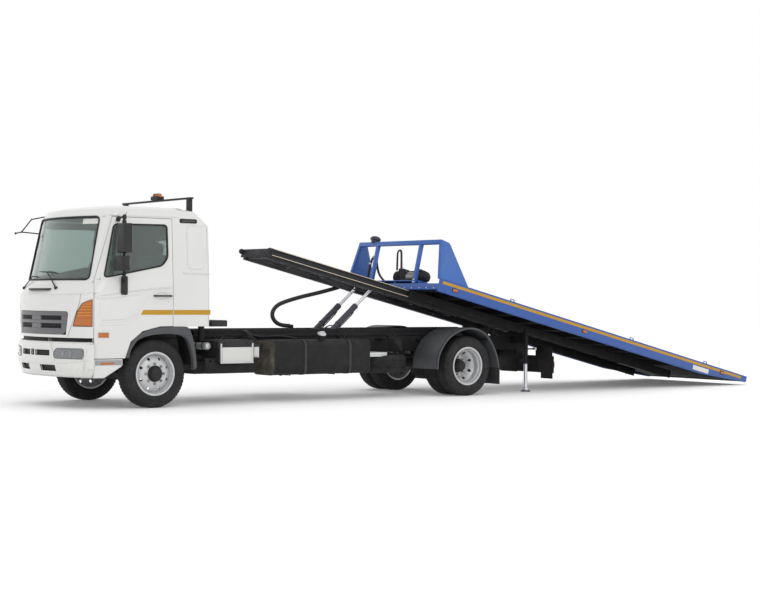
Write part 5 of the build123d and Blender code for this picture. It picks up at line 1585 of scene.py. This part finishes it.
def makeFrameParts():
    spots = []
    for hand in (1, -1):
        out = (0, hand, 0)
        for i in range(frameLook["boltCount"]):
            x = frameLook["boltX"] - i * frameLook["boltPitch"]
            for z in frameLook["boltRows"] if i % 2 else frameLook["boltRows"][1:]:
                spots.append((place(x, hand * frameLook["boltY"], z), out))
        for x in frameLook["mounts"]:
            spots += [(place(x + dx, hand * 0.4285, z), out) for dx, z in frameLook["mountBolts"]]
        for i in range(frameLook["boardCount"]):
            y = hand * (frameLook["boardY"] + frameLook["boardPitch"] * i)
            spots.append((place(frameLook["boardX"], y, frameLook["boardZ"]), (-1, 0, 0)))
    repeatUnit("railBolts", boltMesh, spots, "black", "chassis", 0.9)
    bm = bmesh.new()  # air and brake lines along both rails
    for hand in (1, -1):
        for k, z in enumerate((0.945, 0.958, 0.972)):
            y = hand * (0.426 + 0.008 * k)
            points = []
            for i in range(frameLook["linePoints"]):
                x = frameLook["lineX"] - i * frameLook["lineStep"]
                points.append(place(x, y + 0.004 * math.sin(i * 1.7 + k), z + 0.003 * math.cos(i * 2.1)))
            addTube(bm, points, 0.0055, 6)
    for dx, dy in ((0.0, 0.0), (-0.035, 0.012)):  # two hoses from the relay, over the rail and along it
        route = [(-1.76 + dx, 0.72, 0.86), (-1.76 + dx, 0.70, 0.99), (-1.72 + dx, 0.56, 1.04),
                 (-1.80 + dx, 0.47 + dy, 1.03), (-1.98, 0.455 + dy, 0.95), (-2.2, 0.45 + dy, 0.93 + dy),
                 (-2.5, 0.45 + dy, 0.955), (-2.75, 0.45 + dy, 0.91)]
        addTube(bm, splinePath([place(*spot) for spot in route], 6), 0.011, 10)
    meshPiece("airLines", bm, "hose", "chassis")
    bm = bmesh.new()  # folded hooks over the frame's mounts
    for hand in (1, -1):
        for x in frameLook["mounts"]:
            hook = [(x + 0.10, 0.965), (x + 0.085, 0.955), (x + 0.035, 0.908), (x, 0.9), (x - 0.035, 0.908),
                    (x - 0.085, 0.962)]
            addTube(bm, [place(a, hand * 0.438, z) for a, z in hook], 0.009, 8, 0.6)
    meshPiece("mountHooks", bm, "barrel", "chassis", slot="frame_paint")
    bm = bmesh.new()  # steel clamps round the axles at the springs
    for hand in (1, -1):
        for ax, top, low, wide in ((0.0, 0.53, 0.34, 0.052), (-truck["wheelbase"], 0.635, 0.39, 0.058)):
            for dx in (-wide, wide):
                for dy in (-0.046, 0.046):
                    addRod(bm, place(ax + dx, hand * 0.385 + dy, low), place(ax + dx, hand * 0.385 + dy, top),
                           0.009, 10)
            addBox(bm, ax - wide - 0.02, ax + wide + 0.02, hand * 0.385 - 0.065, hand * 0.385 + 0.065, low,
                   low + 0.014)
    meshPiece("springClamps", bm, "black", "chassis", 0.001)
    bm = bmesh.new()  # brake chambers and dampers
    for hand in (1, -1):
        x, y, z = -truck["wheelbase"] + 0.2, hand * 0.5, 0.5
        profile = [(0.0, 0.0), (0.05, 0.0), (0.066, 0.012), (0.066, 0.05), (0.074, 0.052), (0.074, 0.064),
                   (0.066, 0.066), (0.062, 0.12), (0.05, 0.135), (0.0, 0.135)]
        addTurned(bm, profile, place(x, y, z), xWay, 28)
        addRod(bm, place(x - 0.12, y, z), place(x, y, z), 0.011, 12)
        addRod(bm, place(-0.16, hand * 0.48, 0.42), place(-0.3, hand * 0.48, 0.64), 0.028, 18)
        addRod(bm, place(-0.3, hand * 0.48, 0.63), place(-0.36, hand * 0.48, 0.73), 0.034, 18)
    meshPiece("brakeGear", bm, "cast", "chassis")
    bm = bmesh.new()  # track rod behind the front axle
    addRod(bm, place(-0.16, -0.66, 0.335), place(-0.16, 0.66, 0.335), 0.016, 16)
    meshPiece("trackRod", bm, "black", "chassis")
    bm = bmesh.new()  # flanges and joints of the propeller shaft
    start, end = (place(x, 0, z) for x, z in frameLook["shaft"])
    ahead = (end - start).normalized()
    length = (end - start).length
    for along in (0.03, 0.12, length * 0.52, length - 0.12, length - 0.03):
        ring = [(0.03, -0.012), (0.072, -0.012), (0.075, -0.006), (0.075, 0.006), (0.072, 0.012),
                (0.03, 0.012)]
        addTurned(bm, ring, start + ahead * along, ahead, 24)
    meshPiece("shaftJoints", bm, "cast", "chassis")


rightLook = {
    "door": (-3.56, -2.34, 0.44, 0.84), "doorY": -1.018, "latches": (-3.2, -2.7), "latchY": -1.02,
    "latch": [(0.0, 0.012), (0.02, 0.012), (0.024, 0.006), (0.026, -0.004), (0.0, -0.004)],
    "silencer": (-0.72, 0.6), "bands": (-1.45, -1.95), "seams": (-1.262, -2.138),
    "seam": [(0.196, -0.01), (0.205, -0.008), (0.205, 0.008), (0.196, 0.01)],
    "frontPipe": [(-1.26, -0.7, 0.56), (-1.1, -0.66, 0.55), (-0.95, -0.5, 0.56), (-0.9, -0.34, 0.6)],
    "tailPipe": [(-2.14, -0.78, 0.56), (-2.2, -0.8, 0.55), (-2.22, -0.86, 0.5), (-2.23, -0.98, 0.44)],
}


def makeRightSide():
    bm = bmesh.new()  # door and latches of the tool box
    outline = boxLoop(*rightLook["door"], 0.04, 4)
    addPlate(bm, [place(p.x, rightLook["doorY"], p.y) for p in outline], (0, 0.012, 0))
    meshPiece("toolDoor", bm, "black", "chassis", 0.004)
    bm = bmesh.new()
    for x in rightLook["latches"]:
        addTurned(bm, rightLook["latch"], place(x, rightLook["latchY"], 0.78), -yWay, 24)
        addBox(bm, x - 0.006, x + 0.006, -1.045, -1.03, 0.745, 0.8)
    meshPiece("toolLatches", bm, "chrome", "chassis", 0.0015, slot="bare_steel")
    bm = bmesh.new()  # bands, seams and pipes of the silencer
    y, z = rightLook["silencer"]
    for x in rightLook["bands"]:
        addTurned(bm, bandOf(0.2, 0.206, 0.02), place(x, y, z), xWay)
    for x in rightLook["seams"]:
        addTurned(bm, rightLook["seam"], place(x, y, z), xWay)
    for route, radius in ((rightLook["frontPipe"], 0.05), (rightLook["tailPipe"], 0.045)):
        addTube(bm, [place(*spot) for spot in route], radius, 18)
    meshPiece("silencerParts", bm, "rusty", "chassis")


tailLook = {
    "lensX": (-7.5, -7.49), "lenses": ((0.825, 0.9), (0.905, 0.98), (0.985, 1.055)),
    "boardX": (-7.441, -7.435),
    "skirt": [(1.062, 0.25), (1.062, 0.735), (0.66, 0.76), (0.66, 0.60), (0.74, 0.40), (0.83, 0.25)],
    "leg": (-7.13, 0.75),
    "cap": [(0.0, 0.016), (0.03, 0.016), (0.042, 0.008), (0.044, -0.004), (0.0, -0.004)],
    "foot": [(0.0, 0.075), (0.03, 0.075), (0.036, 0.06), (0.034, 0.035), (0.06, 0.02), (0.078, 0.012),
             (0.082, 0.0), (0.0, 0.0)],
}


def makeRearParts():
    legX, legY = tailLook["leg"]
    board = tailLook["boardX"]
    bm = bmesh.new()
    for hand in (1, -1):
        for k, (y0, y1) in enumerate(tailLook["lenses"]):  # the middle lens is amber
            addBox(bm, *tailLook["lensX"], hand * y0, hand * y1, 0.405, 0.495, int(k == 1))
    meshPiece("rearLenses", bm, ("red", "amber"), "chassis", 0.004)
    bm = bmesh.new()
    addBox(bm, -7.468, -7.458, -0.26, 0.26, 0.40, 0.52)
    meshPiece("blankRearPlate", bm, "plate", "chassis", 0.002)
    bm = bmesh.new()  # tapered side skirts and a middle plate over the rear board
    for hand in (1, -1):
        outline = [place(board[0], hand * y, z) for y, z in tailLook["skirt"]]
        addPlate(bm, outline, (board[1] - board[0], 0, 0))
    addBox(bm, *board, -0.45, 0.45, 0.56, 0.73)
    meshPiece("tailSkirts", bm, "black", "chassis", 0.0015)
    bm = bmesh.new()  # bracket, pin, collar and cap on each leg, with its lamp's arm
    for hand in (1, -1):
        y = hand * legY
        addBox(bm, -7.085, -7.075, y - 0.06, y + 0.06, 0.72, 0.98)
        addRod(bm, place(-7.19, y, 0.56), place(-7.06, y, 0.56), 0.009, 12)
        addTurned(bm, bandOf(0.039, 0.046, 0.02), place(legX, y, 0.48), zWay, 28)
        addTurned(bm, tailLook["cap"], place(legX, y, 1.01), zWay, 28)
        addRod(bm, place(-7.28, hand * 0.8, 0.705), place(-7.1, hand * 0.8, 0.705), 0.012, 12)
    meshPiece("legParts", bm, "black", "chassis", 0.001)
    bm = bmesh.new()
    for y in (0.8, -0.8):
        addBox(bm, -7.30, -7.27, y - 0.03, y + 0.03, 0.685, 0.73)
    meshPiece("bracketLamps", bm, "pale", "chassis", 0.006)
    for hand, label in hands:
        bm = bmesh.new()
        addTurned(bm, tailLook["foot"], place(legX, hand * legY, 0.004), zWay, 32)
        meshPiece("legFoot" + label, bm, "cast", "leg_" + label.lower())


makeFrameParts()
makeRightSide()
makeRearParts()
print("chassis parts made")

# Bed: tape, plates, rope, winch parts, lamp dome, cylinder collars, floor pattern
bedLook = {
    "tape": (1.905, -5.33, 0.343, 0.389), "plate": (-4.02, -4.44, 0.245, 0.325),
    "rings": (0.42, -2.4, -4.33), "winch": (1.72, 0.5), "lamp": (1.955, -0.674, 1.035),
    "floor": {"u": (-5.3, 1.45), "y": 1.12, "w": 0.335, "pitch": 0.11}, "railTop": 0.417,
}


def makeDeckParts():
    u0, u1, w0, w1 = bedLook["tape"]
    for hand, label in hands:
        bm = bmesh.new()
        addBedBox(bm, u1, u0, hand * 1.1995, hand * 1.2012, w0, w1)
        meshPiece("deckTape" + label, bm, "tape", "deck")
        bm = bmesh.new()
        for u, w in ((1.64, 0.3), (-1.26, 0.3), (-4.8, 0.345)):
            base = boxLoop(-0.056, 0.056, -0.03, 0.03, 0.014, 4)
            outline = [onBed(u + p.x, hand * 1.2, w + p.y) for p in base]
            addPlate(bm, outline, (0, hand * 0.005, 0))
        meshPiece("lampBases" + label, bm, "plastic", "deck", 0.001)
    bm = bmesh.new()
    u1, u0, w0, w1 = bedLook["plate"]
    addBedBox(bm, u0, u1, 1.1995, 1.2025, w0, w1)
    meshPiece("blankDeckPlate", bm, "plate", "deck", 0.001)
    bm = bmesh.new()
    weld = [(0.006, 0.0), (0.016, 0.0), (0.014, 0.006), (0.008, 0.012), (0.006, 0.012)]
    for u in bedLook["rings"]:
        for hand in (1, -1):
            for du in (-0.038, 0.038):
                addTurned(bm, weld, onBed(u + du, hand * 1.186, bedLook["railTop"]), bedUp, 16)
    meshPiece("ringWelds", bm, "blue", "deck")
    floor = bedLook["floor"]

    def lozenge(bm):
        low = [(-0.022, 0, 0), (0, -0.006, 0), (0.022, 0, 0), (0, 0.006, 0)]
        top = [(p[0] * 0.6, p[1] * 0.5, 0.0022) for p in low]
        bridge(bm, [[bm.verts.new(p) for p in ring] for ring in (low, top)])
    unit = unitOf("lozengeUnit", lozenge)
    turned = unit.copy()
    turned.transform(Matrix.Rotation(math.radians(90), 4, "Z"))
    across = int(2 * floor["y"] / floor["pitch"])
    along = int((floor["u"][1] - floor["u"][0]) / floor["pitch"])
    for which, mesh in enumerate((unit, turned)):
        cells = [(i, j) for i in range(along) for j in range(across + 1) if (i + j) % 2 == which]
        spots = [(onBed(floor["u"][0] + i * floor["pitch"], -floor["y"] + j * floor["pitch"], floor["w"]),
                  bedUp) for i, j in cells]
        repeatUnit("floorPattern" + str(which), mesh, spots, "floor", "deck")
    spots = []
    for hand in (1, -1):
        spots += [(onBed(1.83 - i * 0.56, hand * 1.2, 0.232), (0, hand, 0)) for i in range(13)]
    repeatUnit("deckBolts", boltMesh, spots, "blue", "deck", 0.8)


frameEnd = {
    "edges": (-0.34, 4.565), "roller": (4.605, 0.39, 0.195), "boltU": 4.45, "boltPitch": 0.21, "bolts": 22,
    "pipes": (-0.16, -0.13, 0.13), "pipeStops": (0.2, 1.0, 2.0, 3.0, 3.9, 4.4), "clips": (0.9, 1.9, 2.9, 3.9),
}


def makeFrameEnd():
    bm = bmesh.new()  # worn edges of the channels
    for hand in (1, -1):
        for y0, y1, w0, w1 in ((0.4195, 0.4215, 0.2235, 0.2338), (0.4195, 0.4215, 0.1272, 0.1375),
                               (0.402, 0.4205, 0.2325, 0.2336)):
            addBedBox(bm, *frameEnd["edges"], hand * y0, hand * y1, w0, w1)
    meshPiece("wornEdges", bm, "worn", "tilt_frame")
    bm = bmesh.new()  # rollers at the frame's front end
    u, y, w = frameEnd["roller"]
    profile = [(0.012, -0.02), (0.034, -0.02), (0.04, -0.014), (0.04, 0.014), (0.034, 0.02), (0.012, 0.02)]
    for hand in (1, -1):
        addTurned(bm, profile, onBed(u, hand * y, w), yWay, 32)
        addRod(bm, onBed(u, hand * (y - 0.028), w), onBed(u, hand * (y + 0.027), w), 0.013, 16)
    meshPiece("endRollers", bm, "bedBlack", "tilt_frame", 0.001)
    spots = []
    for hand in (1, -1):
        for i in range(frameEnd["bolts"]):
            spots.append((onBed(frameEnd["boltU"] - i * frameEnd["boltPitch"], hand * 0.33, 0.2335), bedUp))
        spots += [(onBed(4.5825, hand * y, w), bedAhead) for w in (0.13, 0.2) for y in (0.1, 0.28)]
    repeatUnit("frameBolts", boltMesh, spots, "bedBlack", "tilt_frame", 0.8)
    bm = bmesh.new()  # pipes under the frame, with their clips
    for y in frameEnd["pipes"]:
        stops = enumerate(frameEnd["pipeStops"])
        addTube(bm, [onBed(u, y, 0.092 + 0.002 * (i % 2)) for i, u in stops], 0.008, 8)
    for u in frameEnd["clips"]:
        addBedBox(bm, u - 0.012, u + 0.012, -0.18, -0.11, 0.082, 0.102)
    meshPiece("framePipes", bm, "bedBlack", "tilt_frame")


winchLook = {
    "coils": 19, "rope": 0.0052, "wound": (0.1, 0.31), "core": 0.068, "flanges": (0.092, 0.318),
    "flange": [(0.03, -0.004), (0.094, -0.004), (0.098, 0.0), (0.094, 0.004), (0.03, 0.004)],
    "fins": {"start": 0.375, "pitch": 0.018, "count": 9},
    "collars": {"start": -0.19, "pitch": 0.032, "count": 7},
    "collar": [(0.068, -0.009), (0.1, -0.009), (0.104, -0.004), (0.104, 0.004), (0.1, 0.009), (0.068, 0.009)],
    "motorEnd": [(0.0, 0.03), (0.05, 0.03), (0.068, 0.02), (0.076, 0.0), (0.0, 0.0)],
    "gearbox": [(0.0, 0.0), (0.082, 0.0), (0.09, 0.01), (0.09, 0.05), (0.08, 0.06), (0.0, 0.06)],
    "bearing": [(0.0, -0.025), (0.04, -0.022), (0.06, -0.01), (0.066, 0.0), (0.0, 0.0)],
    "ties": ((-0.09, 0.07), (0.09, 0.07), (-0.09, -0.06), (0.09, -0.06)),
    # upright hose loops: both ends across the truck, top, radius and lean
    "loops": ((-0.158, 0.0, 0.9, 0.010, 0.225), (-0.14, 0.022, 0.91, 0.013, 0.24)),
    "clips": ((1.875, -0.80, 0.70), (1.905, -0.70, 0.80)), "hookY": 0.2,
}


def makeWinchParts():
    u, w = bedLook["winch"]
    bm = bmesh.new()  # rope wound on the drum
    coils, r, core = (winchLook[k] for k in ("coils", "rope", "core"))
    low, high = winchLook["wound"]
    profile = []
    for i in range(coils):
        y = low + (high - low) * (i + 0.5) / coils
        turns = (0.0, math.pi / 3, 2 * math.pi / 3)
        profile += [(0.0755 + r * math.sin(a), y - r * math.cos(a)) for a in turns]
    addTurned(bm, profile + [(core, high), (core, low)], onBed(u, 0, w), yWay, 40)
    meshPiece("winchRope", bm, "rope", "winch_drum")
    bm = bmesh.new()
    for y in winchLook["flanges"]:
        addTurned(bm, winchLook["flange"], onBed(u, y, w), yWay, 44)
    meshPiece("drumFlanges", bm, "cast", "winch_drum", slot="winch_paint")
    bm = bmesh.new()  # motor fins, gearbox cover, control box and tie bars
    turnedParts = [(0.535, winchLook["motorEnd"], 40), (-0.02, winchLook["gearbox"], 40),
                   (-0.208, winchLook["bearing"], 36), (-0.094, bandOf(0.068, 0.088, 0.1), 36)]
    for row, profile in (("fins", bandOf(0.08, 0.089, 0.003)), ("collars", winchLook["collar"])):
        rows = winchLook[row]
        turnedParts += [(rows["start"] + i * rows["pitch"], profile, 40) for i in range(rows["count"])]
    for y, profile, sides in turnedParts:
        addTurned(bm, profile, onBed(u, y, w), yWay, sides)
    for du, dw in winchLook["ties"]:
        addRod(bm, onBed(u + du, 0.07, w + dw), onBed(u + du, 0.34, w + dw), 0.011, 14)
    addBedBox(bm, u - 0.075, u + 0.06, -0.135, -0.02, w + 0.09, w + 0.135)
    addBedBox(bm, u - 0.06, u + 0.06, 0.345, 0.43, w + 0.075, w + 0.115)
    meshPiece("winchParts", bm, "plastic", "deck", 0.004, slot="winch_paint")
    bm = bmesh.new()  # orange cap on the motor
    addBedBox(bm, u + 0.02, u + 0.05, 0.355, 0.415, w + 0.114, w + 0.122)
    meshPiece("motorCap", bm, "amber", "deck", 0.002)
    bm = bmesh.new()  # hook on its rope end, over the platform's rear edge
    y = winchLook["hookY"]
    ropeEnd = [onBed(u - du, y, w - dw) for du, dw in ((0.06, 0.045), (0.14, 0.075), (0.2, 0.085))]
    addTube(bm, ropeEnd, 0.005, 10)
    turns = [math.pi * k / 9 for k in range(12)]
    hook = [onBed(u - 0.22 - 0.035 * math.sin(a), y + 0.03 * (1 - math.cos(a)), w - 0.085) for a in turns]
    addTube(bm, hook, [0.008 + 0.004 * math.sin(math.pi * k / 11) for k in range(12)], 12)
    meshPiece("winchHook", bm, "bare", "deck")


def makeControlHoses():  # upright loops over the gearbox, and a run down the right-hand upright
    u = bedLook["winch"][0]
    bm = bmesh.new()
    for y0, y1, top, r, lean in winchLook["loops"]:
        route = [(y0 - 0.014, 0.6), (y0 - 0.006, 0.78), (y0, top), (y1, top), (y1 + 0.002, 0.78),
                 (y1 + 0.004, 0.6), (y1 - 0.004, 0.41)]
        spots = []
        for i, (y, w) in enumerate(route):
            spots.append(onBed(u + 0.07 + (0.05 if i > 2 else 0.0) + lean * (w - 0.6), y, w))
        addTube(bm, splinePath(spots, 7), r, 10)
    for dy in (0.0, 0.028):
        route = [(1.8, -0.9, 0.42), (1.84, -0.86, 0.62), (1.9, -0.74, 0.84), (1.91, -0.62, 0.78),
                 (1.9, -0.56, 0.6), (1.86, -0.48, 0.46), (1.82, -0.40, 0.41)]
        addTube(bm, splinePath([onBed(hoseU, y + dy, w) for hoseU, y, w in route], 6), 0.011, 10)
    meshPiece("controlHoses", bm, "hose", "deck")
    bm = bmesh.new()  # pale clips on the hoses
    for spot in winchLook["clips"]:
        addTurned(bm, bandOf(0.013, 0.026, 0.012), onBed(*spot), bedUp, 16)
    meshPiece("hoseClips", bm, "pale", "deck", 0.001)


boardLook = {
    "dome": [(0.0, 0.104), (0.03, 0.103), (0.058, 0.096), (0.078, 0.081), (0.088, 0.06), (0.088, 0.044),
             (0.08, 0.032), (0.066, 0.022), (0.066, -0.002), (0.0, -0.002)],
    "postU": 1.955, "boltY": (0.535, 0.585), "rail": (1.924, 1.9845, -1.058, 1.058, 0.968, 1.038),
    "skinTop": 1.038, "lean": 0.137, "leanTop": 1.039, "skinY": 1.1955, "beam": (-1.1, 0.183, 13),
}


def makeHeadboardParts():
    bm = bmesh.new()  # work lamp: a dome on its foot at the headboard's top
    addTurned(bm, boardLook["dome"], onBed(*bedLook["lamp"]), bedUp, 40)
    meshPiece("workLampDome", bm, "domeGrey", "deck")
    bm = bmesh.new()  # posts, bolts and welds of the headboard
    for hand in (1, -1):
        u = boardLook["postU"]
        addTube(bm, [onBed(u, hand * 1.05, 1.01), onBed(u, hand * 1.19, 0.425)], 0.012, 10)
        for y in boardLook["boltY"]:
            addRod(bm, onBed(u - 0.025, hand * y, 0.98), onBed(u + 0.025, hand * y, 0.98), 0.006, 8)
    meshPiece("headboardWelds", bm, "boardBlue", "deck")
    bm = bmesh.new()  # folded top rail and caps over the uprights
    addBedBox(bm, *boardLook["rail"])
    for y in (0.56, -0.56):
        addBedBox(bm, 1.927, 1.983, y - 0.03, y + 0.03, 0.336, 0.98)
    meshPiece("headboardRail", bm, "boardBlue", "deck", 0.006, 3)
    bm = bmesh.new()  # skins over the leaning side plates, wider at their tops, in the lighter blue that paints light on them
    rail, top = bedLook["railTop"], boardLook["skinTop"]
    foot = rail + 0.002
    lean = boardLook["lean"] / (boardLook["leanTop"] - rail)
    skin = roundedLoop([(1.979, foot), (1.979, top), (1.805, 1.024), (1.385, foot)],
                       [0.002, 0.012, 0.03, 0.004], 4)
    for hand in (1, -1):
        outline = [onBed(p.x, hand * (boardLook["skinY"] - lean * (p.y - rail)), p.y) for p in skin]
        addPlate(bm, outline, (0, hand * 0.003, 0))
    meshPiece("boardSkins", bm, "boardBlue", "deck", 0.001)
    start, pitch, count = boardLook["beam"]
    spots = [(onBed(1.98, start + i * pitch, 0.262), bedAhead) for i in range(count)]
    corners = [(hand * y, w) for hand in (1, -1) for y in (0.545, 0.575) for w in (0.36, 0.4)]
    spots += [(onBed(1.983, y, w), bedAhead) for y, w in corners]
    repeatUnit("beamBolts", boltMesh, spots, "alloy", "deck", 0.9)


cylinderLook = {
    "angle": 139.9501, "base": (-3.3, 0, 0.8), "y": 0.22, "length": 1.39822, "rodShown": 0.46,
    "bands": (0.16, 0.5),
    "pipes": ((0.42, 0.03, 0.009), (0.36, -0.02, 0.008)),  # place along the barrel, sag and radius
}


def makeCylinderParts():
    angle = math.radians(cylinderLook["angle"])
    base = place(*cylinderLook["base"])
    ahead = Vector((math.cos(angle), 0, math.sin(angle)))
    side = ahead.cross(yWay)
    barrel = cylinderLook["length"] - cylinderLook["rodShown"]
    gland = [(0.0245, 0.01), (0.036, 0.01), (0.042, 0.006), (0.0475, -0.004), (0.0475, -0.07),
             (0.0455, -0.075), (0.0451, -0.075), (0.0451, -0.002), (0.0245, -0.002)]
    ring = [(0.0448, -0.012), (0.0515, -0.01), (0.0515, 0.01), (0.0448, 0.012)]
    bm = bmesh.new()
    for hand in (1, -1):
        start = base + yWay * (hand * cylinderLook["y"])
        addTurned(bm, gland, start + ahead * barrel, ahead, 36)
        for along in cylinderLook["bands"]:
            addTurned(bm, ring, start + ahead * along, ahead, 36)
        stops = ((0.14, 0.05), (0.2, 0.062), (barrel - 0.16, 0.062), (barrel - 0.09, 0.05))
        addTube(bm, [start + ahead * along + side * out for along, out in stops], 0.009, 10)
    meshPiece("cylinderGlands", bm, "barrel", "lift_barrels", 0.001, slot="cast_parts")
    bm = bmesh.new()  # thin pipes between the two barrels
    for along, sag, r in cylinderLook["pipes"]:
        bends = ((0.19, 0.0, -0.02), (0.12, 0.02, -sag), (0.04, -0.05, -sag), (-0.04, 0.03, sag),
                 (-0.12, -0.03, sag), (-0.19, 0.0, -0.02))
        route = [base + ahead * (along + da) + side * ds + yWay * y for y, da, ds in bends]
        addTube(bm, splinePath(route, 6), r, 10)
    meshPiece("cylinderPipes", bm, "hose", "lift_barrels")


makeDeckParts()
makeFrameEnd()
makeWinchParts()
makeControlHoses()
makeHeadboardParts()
makeCylinderParts()
print("bed parts made")


# Studio: pale floor, white surround and large soft lamps
studio = {
    "floorHalf": 60, "floorColour": (0.93, 0.93, 0.93), "floorGlow": 0.10, "surround": 1.0,
    "lamps": {"key": ((9, 14, 12), 330, 9), "fill": ((-8, 12, 9), 90, 10)},  # place, power and size
}


def makeStudio():
    h = studio["floorHalf"]
    mesh = bpy.data.meshes.new("floor")
    mesh.from_pydata([(-h, -h, 0), (h, -h, 0), (h, h, 0), (-h, h, 0)], [], [(0, 1, 2, 3)])
    mesh.materials.append(shaderOf("floorWhite", studio["floorColour"], 0.9, Emission_Color=(1, 1, 1),
                                   Emission_Strength=studio["floorGlow"])[0])
    objectOf("floor", mesh)
    world = bpy.data.worlds.new("surround")
    world.use_nodes = True
    background = world.node_tree.nodes["Background"]
    background.inputs["Color"].default_value = (1, 1, 1, 1)
    background.inputs["Strength"].default_value = studio["surround"]
    scene.world = world
    for name, (spot, power, size) in studio["lamps"].items():
        data = bpy.data.lights.new(name, "AREA")
        data.energy = power
        data.size = size
        lamp = objectOf(name, data)
        lamp.location = spot
        lamp.rotation_euler = (zWay - Vector(spot)).to_track_quat("-Z", "Y").to_euler()
    scene.view_settings.view_transform = "Standard"


makeStudio()
